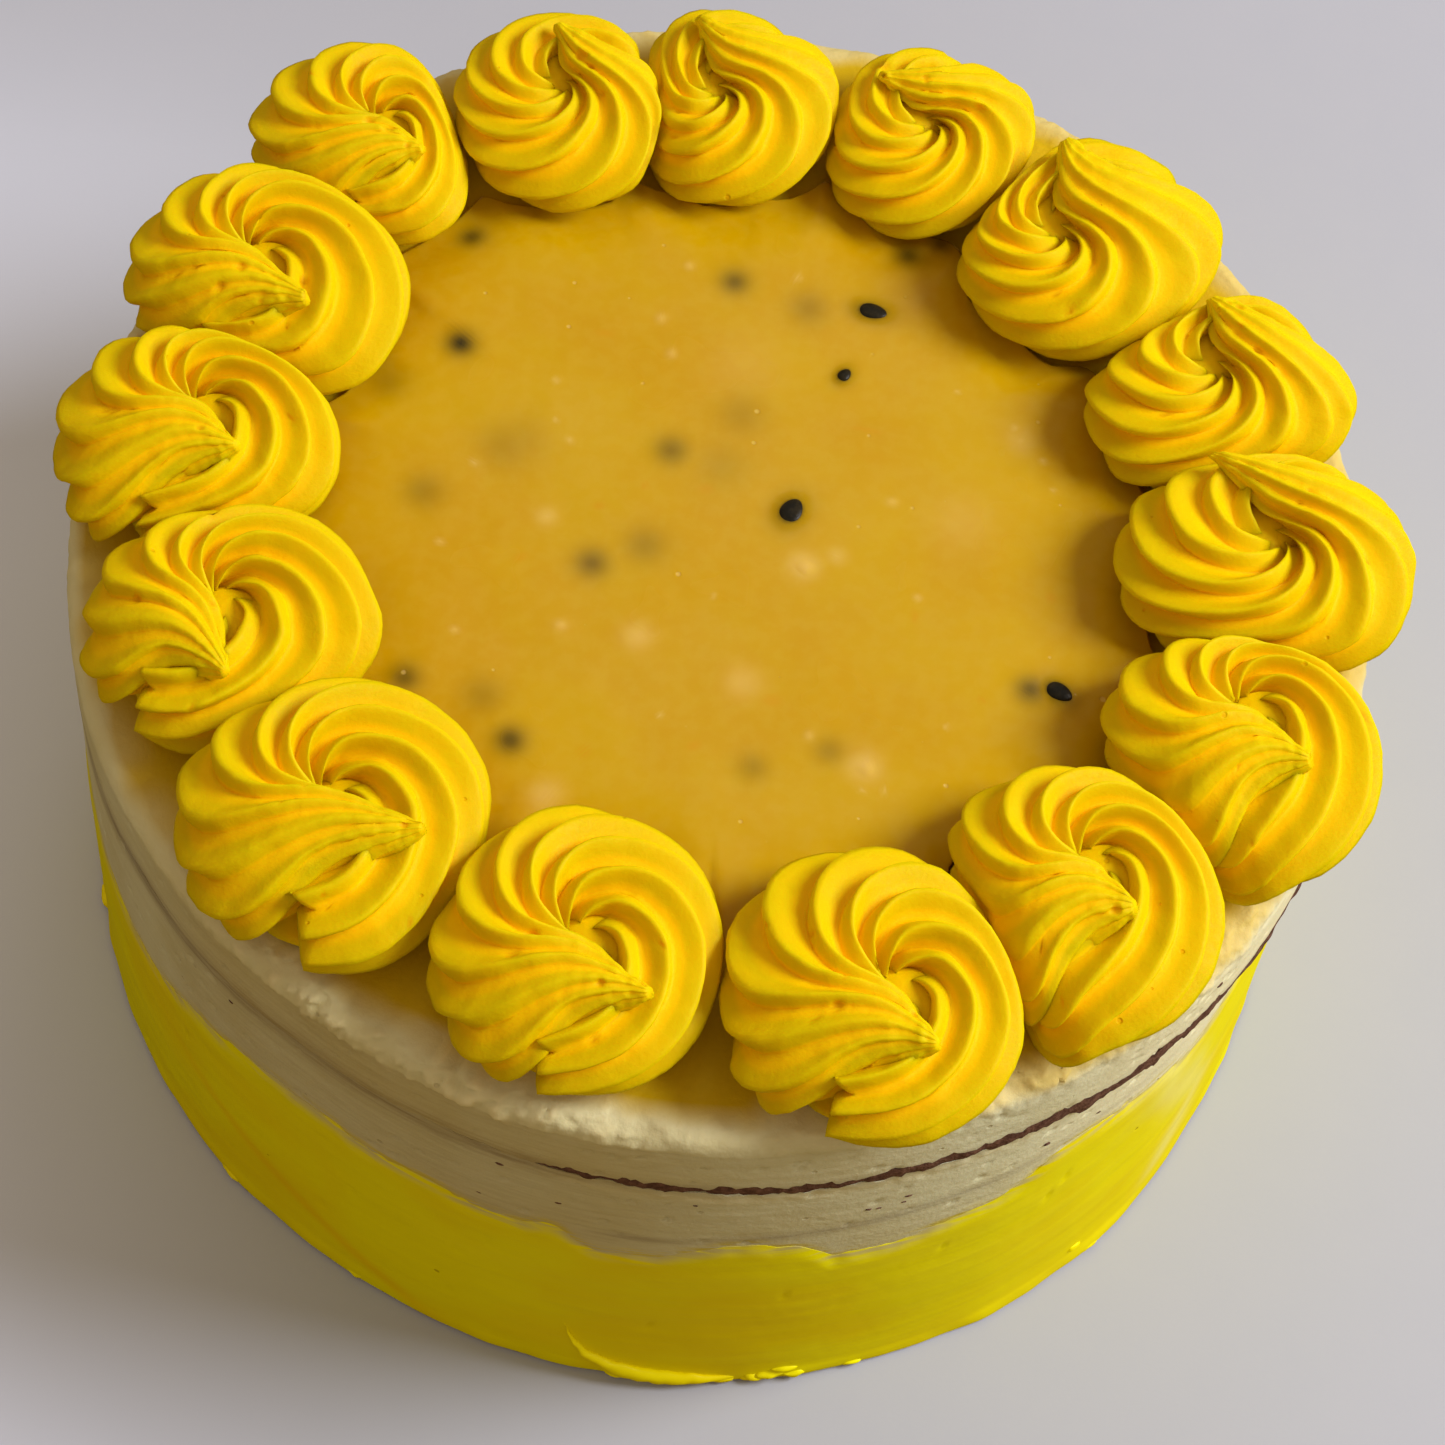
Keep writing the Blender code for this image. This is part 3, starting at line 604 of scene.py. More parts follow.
def start_group(name, results, **inputs):
    """A new node group that takes a place and named inputs: the group, its inputs, its results."""
    group = bpy.data.node_groups.new(name, "ShaderNodeTree")
    group.interface.new_socket("Vector", in_out="INPUT", socket_type="NodeSocketVector")
    for label, value in inputs.items():
        add_socket(group, label.replace("_", " "), "INPUT").default_value = value
    for label in results:
        add_socket(group, label, "OUTPUT")
    return group, node(group, "NodeGroupInput").outputs, node(group, "NodeGroupOutput").inputs


def make_mottle():
    """Slow uneven colour, as in icing that was not stirred all the way."""
    group, given, result = start_group(
        "icing_mottle", ("Colour",), Colour=(0.8, 0.8, 0.8, 1.0), Deep_Colour=(0.5, 0.5, 0.5, 1.0),
        Lumps_Per_Metre=60.0, Share=0.5,
    )
    slow = noise_at(group, given["Vector"], given["Lumps Per Metre"], 3.0)
    amount = share_of(group, range_of(group, slow, 0.35, 0.68), given["Share"])
    put(group, result["Colour"], blend_of(group, amount, given["Colour"], given["Deep Colour"]))


def make_air_pits():
    """Small round holes where air was beaten in: a mask, and a height that dips in each hole."""
    group, given, result = start_group(
        "air_pits", ("Mask", "Height"), Pits_Per_Metre=300.0, Pit_Size=0.22, Share=0.3
    )
    values = {"Vector": given["Vector"], "Scale": given["Pits Per Metre"]}
    cells = node(group, "ShaderNodeTexVoronoi", values, feature="F1").outputs
    split = node(group, "ShaderNodeSeparateColor", {"Color": cells["Color"]}).outputs
    chosen = math_of(group, "LESS_THAN", split["Red"], given["Share"])
    size = math_of(group, "MULTIPLY_ADD", split["Green"], 0.6, 0.4)
    size = share_of(group, size, given["Pit Size"])
    near = math_of(group, "DIVIDE", cells["Distance"], size)
    mask = share_of(group, range_of(group, near, 0.45, 1.0, 1.0, 0.0), chosen)
    put(group, result["Mask"], mask)
    put(group, result["Height"], math_of(group, "SUBTRACT", 1.0, mask))


def make_scraper_marks():
    """Long level streaks that a scraper leaves round the wall."""
    group, given, result = start_group(
        "scraper_marks", ("Height", "Fine"), Length_Per_Metre=30.0, Squeeze=14.0
    )
    values = {"X": 1.0, "Y": 1.0, "Z": given["Squeeze"]}
    stretch = node(group, "ShaderNodeCombineXYZ", values).outputs["Vector"]
    values = {0: given["Vector"], 1: stretch}
    scaled = node(group, "ShaderNodeVectorMath", values, operation="MULTIPLY").outputs["Vector"]
    length = given["Length Per Metre"]
    long_streaks = noise_at(group, scaled, length, 4.0)
    finer = share_of(group, length, 4.0)
    put(group, result["Height"], long_streaks)
    put(group, result["Fine"], noise_at(group, scaled, finer, 3.0))


def make_grain():
    """Fine grain of sugar and fat in the surface."""
    group, given, result = start_group("fine_grain", ("Height",), Grains_Per_Metre=1500.0)
    grain = noise_at(group, given["Vector"], given["Grains Per Metre"], 3.0, 0.6)
    put(group, result["Height"], grain)


def use_group(tree, name, place, **values):
    """The results of a node group at that place."""
    item = node(tree, "ShaderNodeGroup", node_tree=bpy.data.node_groups[name])
    for label, value in {"Vector": place, **values}.items():
        put(tree, item.inputs[label.replace("_", " ")], value)
    return item.outputs


def mottled(tree, place, colour, deep, lumps, share):
    return use_group(
        tree, "icing_mottle", place, Colour=colour, Deep_Colour=deep, Lumps_Per_Metre=lumps,
        Share=share,
    )["Colour"]


def pitted(tree, place, count, size, share):
    return use_group(tree, "air_pits", place, Pits_Per_Metre=count, Pit_Size=size, Share=share)


def streaked(tree, place, length, squeeze):
    return use_group(tree, "scraper_marks", place, Length_Per_Metre=length, Squeeze=squeeze)


def grained(tree, place, count):
    return use_group(tree, "fine_grain", place, Grains_Per_Metre=count)["Height"]


def start_material(name):
    material = bpy.data.materials.new(name)
    material.use_nodes = True
    tree = material.node_tree
    return material, tree, node(tree, "ShaderNodeTexCoord").outputs["Object"]


def finished(material, colour, normal, rough, specular, milky=None):
    """Gives the material its surface; milky says how light spreads inside it."""
    tree = material.node_tree
    shader = tree.nodes["Principled BSDF"].inputs
    put(tree, shader["Base Color"], colour)
    put(tree, shader["Normal"], normal)
    put(tree, shader["Roughness"], rough)
    shader["Specular IOR Level"].default_value = specular
    if milky:
        weight, spread, reach = milky
        shader["Subsurface Weight"].default_value = weight
        shader["Subsurface Radius"].default_value = spread
        shader["Subsurface Scale"].default_value = reach
    return material


def make_piped_icing():
    """Buttercream of the swirls: lemon crests painted a little darker than the flanks as shade, and
    orange gold creases painted lighter as glow of light bounced inside them.
    """
    material, tree, place = start_material("piped_icing")
    crest, tip, pit = (mark_of(tree, name) for name in ("crest", "tip", "pit"))
    # Painted light and shade: creases lighter and orange as glowing bounced light, crests a little
    # darker
    colour = blend_of(tree, range_of(tree, crest, 0.0, 0.45), ICING["crease"], ICING["flank"])
    colour = blend_of(tree, range_of(tree, crest, 0.5, 1.0), colour, ICING["crest"])
    colour = blend_of(tree, share_of(tree, tip, 0.6), colour, ICING["tip"])
    colour = mottled(tree, place, colour, ICING["deep"], 170.0, 0.35)
    pits = pitted(tree, place, 260.0, 0.16, 0.12)
    # Painted shade in the air holes and pits
    pit_shade = math_of(tree, "MAXIMUM", pit, share_of(tree, pits["Mask"], 0.7))
    colour = blend_of(tree, pit_shade, colour, ICING["pit_shade"])
    grain = grained(tree, place, 1300.0)
    normal = bump_of(tree, pits["Height"], 0.6, 0.0004)
    normal = bump_of(tree, grain, 0.3, 0.0003, normal)
    rough = range_of(tree, grain, 0.3, 0.7, 0.46, 0.62)
    return finished(material, colour, normal, rough, 0.06, MILKY_ICING)


def make_curd_finish():
    """Set fruit curd: golden and milky, seeds and pulp showing through, a wet skin."""
    material, tree, place = start_material("fruit_curd")
    shade, cloud, pulp = (mark_of(tree, name) for name in ("seed_shade", "cloud", "pulp"))
    colour = mottled(tree, place, CURD["gold"], CURD["deep"], 38.0, 0.8)
    colour = mottled(tree, place, colour, CURD["fine"], 420.0, 0.22)
    colour = blend_of(tree, share_of(tree, cloud, 0.6), colour, CURD["cloud"])
    colour = blend_of(tree, share_of(tree, pulp, 0.75), colour, CURD["pulp"])
    colour = blend_of(tree, shade, colour, CURD["seed"])
    froth = pitted(tree, place, 230.0, 0.14, 0.3)
    colour = blend_of(tree, share_of(tree, froth["Mask"], 0.4), colour, CURD["froth"])
    slow = noise_at(tree, place, 55.0)
    normal = bump_of(tree, slow, 0.25, 0.0012)
    normal = bump_of(tree, froth["Height"], 0.35, 0.0004, normal)
    rough = range_of(tree, slow, 0.3, 0.7, 0.20, 0.28)
    return finished(material, colour, normal, rough, 0.16, MILKY_CURD)


def make_seed_finish():
    """Black, wet seed coat with a brownish bloom."""
    material, tree, place = start_material("seed_coat")
    colour = mottled(tree, place, SEED["coat"], SEED["bloom"], 900.0, 0.6)
    normal = bump_of(tree, grained(tree, place, 1800.0), 0.3, 0.0002)
    return finished(material, colour, normal, 0.38, 0.15)


def make_cream_finish():
    """Scraped ivory cream: level streaks, air holes with painted shade, a grey shadow where sponge
    shows through, curd stain with painted shade, painted shade on the front left side and painted
    light on the right side.
    """
    material, tree, place = start_material("cream_icing")
    # The flake mark carries paler flakes and painted light on the right side
    stain_and_shade, shadow, flake_and_light, smear = (
        mark_of(tree, name) for name in ("stain_and_shade", "shadow", "flake_and_light", "smear"))
    marks = streaked(tree, place, 26.0, 12.0)
    colour = mottled(tree, place, CREAM["ivory"], CREAM["deep"], 60.0, 0.8)
    streak = share_of(tree, range_of(tree, marks["Height"], 0.42, 0.72), 0.3)
    # Grey where sponge shows through, plus painted shade on the front left side
    thin = share_of(tree, shadow, range_of(tree, marks["Fine"], 0.25, 0.7, 1.0, 0.55))
    rub = share_of(tree, smear, range_of(tree, marks["Fine"], 0.42, 0.6))
    # The stain colour carries curd stain and painted shade
    layers = ((streak, "streak"), (flake_and_light, "flake_and_light"), (thin, "thin"), (rub, "smear"), (stain_and_shade, "stain_and_shade"))
    for share, name in layers:
        colour = blend_of(tree, share, colour, CREAM[name])
    pits = pitted(tree, place, 330.0, 0.2, 0.1)
    # Painted shade in the air holes
    colour = blend_of(tree, share_of(tree, pits["Mask"], 0.3), colour, CREAM["pit_shade"])
    grain = grained(tree, place, 1100.0)
    normal = bump_of(tree, marks["Height"], 0.22, 0.0005)
    normal = bump_of(tree, pits["Height"], 0.5, 0.0005, normal)
    normal = bump_of(tree, grain, 0.4, 0.0003, normal)
    rough = range_of(tree, grain, 0.3, 0.7, 0.5, 0.66)
    return finished(material, colour, normal, rough, 0.2, MILKY_CREAM)


def make_coat_finish():
    """Smooth yellow icing, scraped level, with a soft gloss and warmer streaks."""
    material, tree, place = start_material("yellow_icing")
    thin, warm, pale = (mark_of(tree, name) for name in ("thin", "warm", "pale"))
    marks = streaked(tree, place, 16.0, 10.0)
    colour = mottled(tree, place, COAT["yellow"], COAT["deep"], 36.0, 0.8)
    streak = share_of(tree, range_of(tree, marks["Height"], 0.45, 0.7), 0.35)
    rub = share_of(tree, thin, range_of(tree, marks["Fine"], 0.4, 0.62))
    for share, name in ((streak, "streak"), (warm, "warm"), (pale, "pale"), (rub, "thin")):
        colour = blend_of(tree, share, colour, COAT[name])
    pits = pitted(tree, place, 210.0, 0.13, 0.05)
    # Painted shade in the air holes
    colour = blend_of(tree, share_of(tree, pits["Mask"], 0.6), colour, COAT["pit_shade"])
    grain = grained(tree, place, 1400.0)
    normal = bump_of(tree, marks["Height"], 0.3, 0.0007)
    normal = bump_of(tree, pits["Height"], 0.6, 0.0004, normal)
    normal = bump_of(tree, grain, 0.12, 0.0002, normal)
    rough = range_of(tree, marks["Fine"], 0.3, 0.7, 0.34, 0.46)
    return finished(material, colour, normal, rough, 0.10)


def make_sponge_finish():
    """Moist dark sponge crumb."""
    material, tree, place = start_material("dark_sponge")
    crumb = noise_at(tree, place, 700.0, 4.0, 0.65)
    colour = blend_of(tree, range_of(tree, crumb, 0.35, 0.7), SPONGE["dark"], SPONGE["light"])
    normal = bump_of(tree, crumb, 0.8, 0.0006)
    return finished(material, colour, normal, range_of(tree, crumb, 0.3, 0.7, 0.7, 0.9), 0.2)


def make_floor_finish():
    """Pale matt table top, painted lighter at the left front to lift the cake's cast shadow; its
    bounce is kept low and warm, so shade on the wall stays golden.
    """
    material, tree, place = start_material("pale_table")
    colour = blend_of(tree, noise_at(tree, place, 90.0, 3.0), TABLE["grey"], TABLE["speck"])
    sides = node(tree, "ShaderNodeSeparateXYZ", {"Vector": place}).outputs
    # Painted light at the left front of the table, over the cake's cast shadow
    left = range_of(tree, sides["X"], -0.16, -0.02, 1.0, 0.0)
    front = range_of(tree, sides["Y"], 0.03, 0.19, 1.0, 0.0)
    colour = blend_of(tree, share_of(tree, left, front), colour, TABLE["painted_light"])
    path = node(tree, "ShaderNodeLightPath").outputs
    bounce = math_of(tree, "MAXIMUM", path["Is Diffuse Ray"], path["Is Glossy Ray"])
    colour = blend_of(tree, bounce, colour, TABLE["bounce"])
    normal = bump_of(tree, noise_at(tree, place, 1200.0), 0.05, 0.0002)
    return finished(material, colour, normal, 0.6, 0.2)


# Piping


def smooth_path(knots, steps):
    """A smooth curve through the knots, with the same number of steps between each two."""
    knots = np.asarray(knots, float)
    padded = np.vstack([2.0 * knots[0] - knots[1], knots, 2.0 * knots[-1] - knots[-2]])
    share = np.linspace(0.0, 1.0, steps, endpoint=False)[:, None]
    rows = []
    for i in range(1, len(padded) - 2):
        a, b, c, d = padded[i - 1:i + 3]
        bend = (2.0 * a - 5.0 * b + 4.0 * c - d) * share**2
        twist = (-a + 3.0 * b - 3.0 * c + d) * share**3
        rows.append(0.5 * (2.0 * b + (c - a) * share + bend + twist))
    return np.vstack([*rows, padded[-2]])


def piping_stations():
    rows = []
    for angle, radius, *section in RING_STATIONS:
        x = RING_CENTRE[0] + radius * math.cos(math.radians(angle))
        y = RING_CENTRE[1] + radius * math.sin(math.radians(angle))
        rows.append((x, y, *section, angle + 90.0))
    return smooth_path([*rows, *TAIL_STATIONS], STATION_STEPS)


def ridge_profile(share, depth):
    """Outline of one ridge of the star rope, from crease to crease, crest near its outer side."""
    across = np.abs(2.0 * share**RIDGE_SKEW - 1.0)
    fall = np.sqrt(across**2 + CREST_ROUND**2) - CREST_ROUND
    fall = fall / (math.sqrt(1.0 + CREST_ROUND**2) - CREST_ROUND)
    return 1.0 - depth * np.sin(0.5 * np.pi * fall)


def shift_eye(points, eye, tip, tail_share):
    """Slides the eye and the tip to their own places; the rim of the swirl stays."""
    away = points[..., :2] - EYE
    distance = np.linalg.norm(away, axis=-1) + 1e-9
    facing = (away / distance[..., None]) @ EYE
    to_rim = np.sqrt(facing**2 + SWIRL_RIM**2 - EYE @ EYE) - facing
    pull = np.cos(0.5 * np.pi * np.clip(distance / to_rim, 0.0, 1.0))
    moved = points.copy()
    moved[..., :2] += pull[..., None] * (eye - EYE)
    moved[..., :2] += tail_share[..., None] * ((tip - TIP) - (eye - EYE))
    return moved


def stations_met(index, station, start):
    """The station whose section each point takes: outer ridges of some rings start late."""
    facing = np.cos(start)
    late = np.where(np.sin(start) > 0.0, ease(facing, *LATE_UPPER), ease(facing, *LATE_LOWER))
    return station + START_LATE[index] * late * np.maximum(0.0, 1.0 - station / LATE_REACH)


def relax_fan(grid, station, around):
    """Smooths the underside of the fan, where the rope is swept over itself."""
    hold = 0.5 * ease(station, FAN_START, FAN_START + FAN_EASE)
    hold = (hold * ease(np.cos(around), *FAN_UNDERSIDE))[1:-1, :, None]
    for _ in range(FAN_RELAX):
        middle = 0.5 * (grid[:-2] + grid[2:])
        grid[1:-1] += hold * (middle - grid[1:-1])


def draped(station, around, side, rise):
    """Folds the fan's outer edge over the start of the ring."""
    drape = bell(station - DRAPE_STATION, DRAPE_STATIONS) * ease(np.cos(around), *DRAPE_SIDE)
    return side + DRAPE_OUT * drape, rise - DRAPE_DROP * drape


def set_down(index, station, side, back):
    """Slants or tucks in the start of the ring, where the nozzle was set down."""
    if not START_LATE[index]:
        back = back - START_SLANT * bell(station, SLANT_STATIONS) * np.maximum(side, -2.0)
    if index < BACK_SWIRLS:
        side = side - START_TUCK * bell(station, TUCK_STATIONS)
    return side, back


def rope_grid(index):
    """Points of one upright star rope in millimetres, with its crest and tip marks."""
    rows = piping_stations()
    known = np.arange(len(rows)) / STATION_STEPS
    last = known[-1]
    station = np.concatenate([np.zeros(len(END_SHRINK)), known])[:, None]
    closing = np.concatenate([END_SHRINK, np.ones(len(rows))])[:, None]
    even = np.arange(RIDGE_COLUMNS) / RIDGE_COLUMNS
    share = np.tile(even**(1.0 / RIDGE_SKEW), RIDGES)
    ridge = np.repeat(np.arange(RIDGES), RIDGE_COLUMNS)
    around = FULL_TURN * (ridge + share) / RIDGES
    met = stations_met(index, station, around + math.radians(rows[0][6]))
    x, y, width, height, tall, lean, twist, depth, heading = (
        np.interp(met, known, column) for column in rows.T)
    place = np.stack(np.broadcast_arrays(
        station * SWAY_STEP[0], ridge * SWAY_STEP[1], np.array(index * SWAY_STEP[2])), axis=-1)
    around = around + np.radians(twist) + np.radians(RIDGE_SWAY) * soft_noise(place, 1.0, 11)
    fade = 1.0 - FAN_FADE * ease(station, FAN_START, last - 2.0)
    depth = depth * DEPTH_SHARE * fade
    profile = ridge_profile(share, depth)
    crest = np.clip((profile - 1.0 + depth) / depth, 0.0, 1.0)
    swell = 1.0 + RIDGE_SWELL * soft_noise(place + 40.0, 1.0, 12)
    radius = np.maximum(width, 0.5) * profile * swell
    side = np.cos(around) * radius * closing - END_INWARD * (1.0 - closing)
    rise = np.sin(around) * radius * tall * closing - END_SINK * (1.0 - closing)
    side, rise = draped(station, around, side, rise)
    back = rise * lean + CLAW_REACH * bell(station, CLAW_STATIONS) * np.sqrt(crest)
    side, back = set_down(index, station, side, back)
    back = back + END_ROUND * np.sqrt(1.0 - closing**2)
    heading = np.radians(heading)
    ahead, out = np.cos(heading), np.sin(heading)
    level = height + rise
    sunk = FOOT_HEIGHT * np.exp(np.minimum((level - FOOT_HEIGHT) / FOOT_HEIGHT, 0.0))
    level = np.where(level < FOOT_HEIGHT, sunk, level)
    grid = np.stack([x + side * out - back * ahead, y - side * ahead - back * out, level], axis=-1)
    tail = np.clip((station - len(RING_STATIONS) + 1) / len(TAIL_STATIONS), 0.0, 1.0)**TIP_POWER
    eye, tip = np.array(SWIRLS[index][4:]).reshape(2, 2)
    grid = shift_eye(grid, eye, tip, tail)
    relax_fan(grid, station, around)
    return grid, crest, ease(station, last - TIP_STATIONS, last - 0.5) * np.ones_like(crest)


def swirl_place(index):
    x, y, scale, turn = SWIRLS[index][:4]
    return np.array((x * MM, y * MM, CAKE_HEIGHT + GAP)), scale, math.radians(turn)


def contact_planes(index):
    """Planes that hold one swirl off its two neighbours, as (point, outward normal)."""
    planes = []
    for first, side in ((index, 1.0), ((index - 1) % len(SWIRLS), -1.0)):
        shift, lean = CONTACTS[first]
        start, start_scale, _ = swirl_place(first)
        end, end_scale, _ = swirl_place((first + 1) % len(SWIRLS))
        line = end - start
        point = start + line * start_scale / (start_scale + end_scale)
        line = line / np.linalg.norm(line)
        point = point + line * shift * MM + np.array((0.0, 0.0, PRESS_HEIGHT))
        normal = line * math.cos(math.radians(lean))
        normal[2] = -math.sin(math.radians(lean))
        planes.append((point, normal * side))
    return planes


def press(points, planes, centre):
    """Squeezes points that reach past a contact plane back behind it."""
    for point, normal in planes:
        limit = (point - centre) @ normal
        reach = (points - centre) @ normal
        most = reach.max()
        if most <= limit:
            continue
        start = limit - PRESS_SOFTNESS
        share = np.clip((reach - start) / (most - start), 0.0, 1.0)
        power = (most - start) / (limit - start)
        pressed = start + (limit - start) * (1.0 - (1.0 - share)**power)
        moved = np.where(reach > start, pressed - reach, 0.0)
        points = points + moved[..., None] * normal
    return points


def grid_normals(grid):
    """Outward directions over a grid whose columns run round."""
    rows = np.gradient(grid, axis=0)
    columns = np.roll(grid, -1, axis=1) - np.roll(grid, 1, axis=1)
    normal = np.cross(columns, rows)
    normal /= np.linalg.norm(normal, axis=-1)[..., None] + 1e-12
    middle = grid.mean(axis=1, keepdims=True)
    facing = np.sign(((grid - middle) * normal).sum(axis=-1).mean())
    return normal * facing


def air_holes(grid, normals, seed):
    """Dips where air bubbles broke the icing: a depth and a mark at every point."""
    rng = np.random.default_rng(seed)
    depth = np.zeros(grid.shape[:2])
    mark = np.zeros(grid.shape[:2])
    upper = np.argwhere((normals[..., 2] > 0.25) & (grid[..., 2] > CAKE_HEIGHT + 0.004))
    for pick in rng.choice(len(upper), AIR_HOLES, replace=False):
        size = rng.uniform(*HOLE_SIZES) * MM
        if rng.uniform() < WIDE_HOLES:
            size = rng.uniform(*WIDE_SIZES) * MM
        away = np.linalg.norm(grid - grid[tuple(upper[pick])], axis=-1)
        dip = np.clip(1.0 - (away / size)**2, 0.0, 1.0)
        depth = np.maximum(depth, 0.45 * size * dip)
        mark = np.maximum(mark, dip)
    return depth, mark


def eye_plug(index):
    """The low plug that closes the eye of a swirl."""
    centre, scale, turn = swirl_place(index)
    size = scale * MM
    angle = turns(PLUG_COLUMNS)
    ring = np.stack([np.cos(angle), np.sin(angle)], axis=1) * PLUG_RADIUS * size
    eye = np.array(spun(*SWIRLS[index][4:6], turn)) * size
    return closed_shell(np.stack([
        np.column_stack([
            centre[:2] + ring * share + eye * shift,
            np.full(PLUG_COLUMNS, CAKE_HEIGHT + GAP + level * size),
        ])
        for share, level, shift in PLUG_LEVELS
    ]))


def make_swirl(index, material):
    """One piped swirl, uneven as piped, with a rough pulled tip and its low plug in the eye."""
    centre, scale, turn = swirl_place(index)
    grid, crest, tip = rope_grid(index)
    grid = grid * scale * MM
    grid[..., 0], grid[..., 1] = spun(grid[..., 0], grid[..., 1], turn)
    grid = press(grid + centre, contact_planes(index), centre)
    normals = grid_normals(grid)
    lumps = uneven(grid, (0.6, 2.6, 21 + index), (0.4, 1.1, 41))
    rough = uneven(grid, (1.0, 2.0, 61 + index), (0.6, 0.9, 62))
    held = ease(grid[..., 2], CAKE_HEIGHT + 0.001, CAKE_HEIGHT + 0.003)
    hollow, pit = air_holes(grid, normals, 300 + index)
    reach = (SKIN_LUMPS * lumps + TIP_LUMPS * tip**1.5 * rough) * MM * held - hollow
    grid = grid + normals * reach[..., None]
    grid[..., 2] = np.maximum(grid[..., 2], CAKE_HEIGHT + GAP)
    shell = joined([closed_shell(grid), eye_plug(index)])
    pad = np.zeros(len(shell[0]) - crest.size)
    marks = {
        mark: np.concatenate([values.ravel(), pad])
        for mark, values in (("crest", crest), ("tip", tip), ("pit", pit))
    }
    name = "swirl_%02d" % (index + 1)
    make_piece("piped_" + name, shell, material, (name,), marks)


# Wall and layers


def wall_points(radius, height, angle=WALL_ANGLES):
    """Points round the cake, that far from its axis."""
    return np.stack(np.broadcast_arrays(
        radius * np.cos(angle), radius * np.sin(angle), height), axis=-1)


WALL_LINE = wall_points(CAKE_RADIUS, 0.0)


def wall_radius(angle=WALL_ANGLES):
    ripple = 0.25 * np.sin(3.0 * angle + 0.7) + 0.15 * np.sin(7.0 * angle)
    return CAKE_RADIUS + (ripple + knot_values(WALL_REACH, angle)) * MM


def lower_radius(angle=WALL_ANGLES):
    return wall_radius(angle) - knot_values(LOWER_SET_IN, angle) * MM


def torn_rim():
    bite = np.sin(11.0 * WALL_ANGLES + 0.5) * np.sin(23.0 * WALL_ANGLES + 1.3)
    return np.maximum(0.0, bite) * 1.6 * MM


def coat_top(angle=WALL_ANGLES):
    """The coat's upper edge, with small tears in it."""
    ragged = uneven(wall_points(CAKE_RADIUS, 0.0, angle), *COAT_EDGE_RAGS)
    return (knot_values(COAT_EDGE, angle) + ragged) * MM


def line_cover():
    patchy = uneven(WALL_LINE, *COVER_PATCHES)
    return np.clip(knot_values(LINE_COVER) + patchy, 0.0, 1.0)


def line_edges():
    """Lower and upper edge of the dark line where it shows at the wall."""
    bottom = LINE_BASE + GAP - LINE_SPILL[0] + uneven(WALL_LINE, *LINE_LOW_RAGS) * MM
    top = LINE_BASE + GAP + LINE_THICKNESS + LINE_SPILL[1] + uneven(WALL_LINE, *LINE_HIGH_RAGS) * MM
    middle = 0.5 * (bottom + top)
    thick = 1.0 + 0.4 * knot_values(LINE_SWELL)
    half = 0.5 * (top - bottom) * thick * (1.0 - line_cover())
    return middle - half, middle + half


def line_closed():
    """Share from 0 to 1 of how fully cream closes over the dark line."""
    return ease(line_cover(), *LINE_CLOSES)


def scraped(place, seed):
    """Radial relief of a scraped wall, in millimetres: level drags and slow lumps."""
    flat = place * np.array((1.0, 1.0, 7.0))
    drags = uneven(flat, (0.05, 11.0, seed), (0.03, 4.0, seed + 1))
    return drags + uneven(place, (0.035, 1.2, seed + 3)) + uneven(place, (0.12, 10.0, seed + 2))


def wall_pits(height, seed, count, low, high, largest):
    """Depth of small round holes in the wall, at random places between two heights."""
    rng = np.random.default_rng(seed)
    depth = np.zeros(height.shape)
    for _ in range(count):
        middle = rng.uniform(0.0, FULL_TURN)
        level = rng.uniform(low, high)
        size = rng.uniform(PIT_LEAST, largest) * MM
        arc = np.abs((WALL_ANGLES - middle + np.pi) % FULL_TURN - np.pi) * CAKE_RADIUS
        away = (arc / size)**2 + ((height - level) / size)**2
        depth = np.maximum(depth, 0.7 * size * np.clip(1.0 - away, 0.0, 1.0))
    return depth


def painted_side_shade():
    """Share from 0 to 1 of painted shade on the cream of the front left side."""
    return knot_values(SIDE_SHADE)


def painted_side_light():
    """Where light is painted on the cream of the right side, making it paler."""
    return knot_values(SIDE_LIGHT)


def show_through(height):
    """Where dark sponge shows as a grey shadow through thin cream, with a faint grey line low on the
    front and painted shade over the front left side.
    """
    cover = knot_values(LINE_COVER)
    level = height / MM
    drift = 1.2 * soft_noise(wall_points(CAKE_RADIUS, height), 30.0 * MM, 81)
    strength, middle, width = LEFT_SHADOW
    left = strength * ease(cover, 0.3, 0.9) * bell(level - middle - drift, width)
    strength, middle, width = RIGHT_SHADOW
    right = bell(level - middle, width) * strength * np.clip(1.0 - cover, 0.0, 1.0)
    strength, middle, width = FRONT_SHADOW
    climb = 0.15 * (np.degrees(WALL_ANGLES) % 360 - 285)
    front = strength * (knot_values(LOW_SHADOW) * bell(level - middle - climb, width))
    # Painted shade over the front left side of the wall
    veil = 0.30 * painted_side_shade()
    return np.clip(left + right + front + veil * (1.0 - left), 0.0, 1.0)


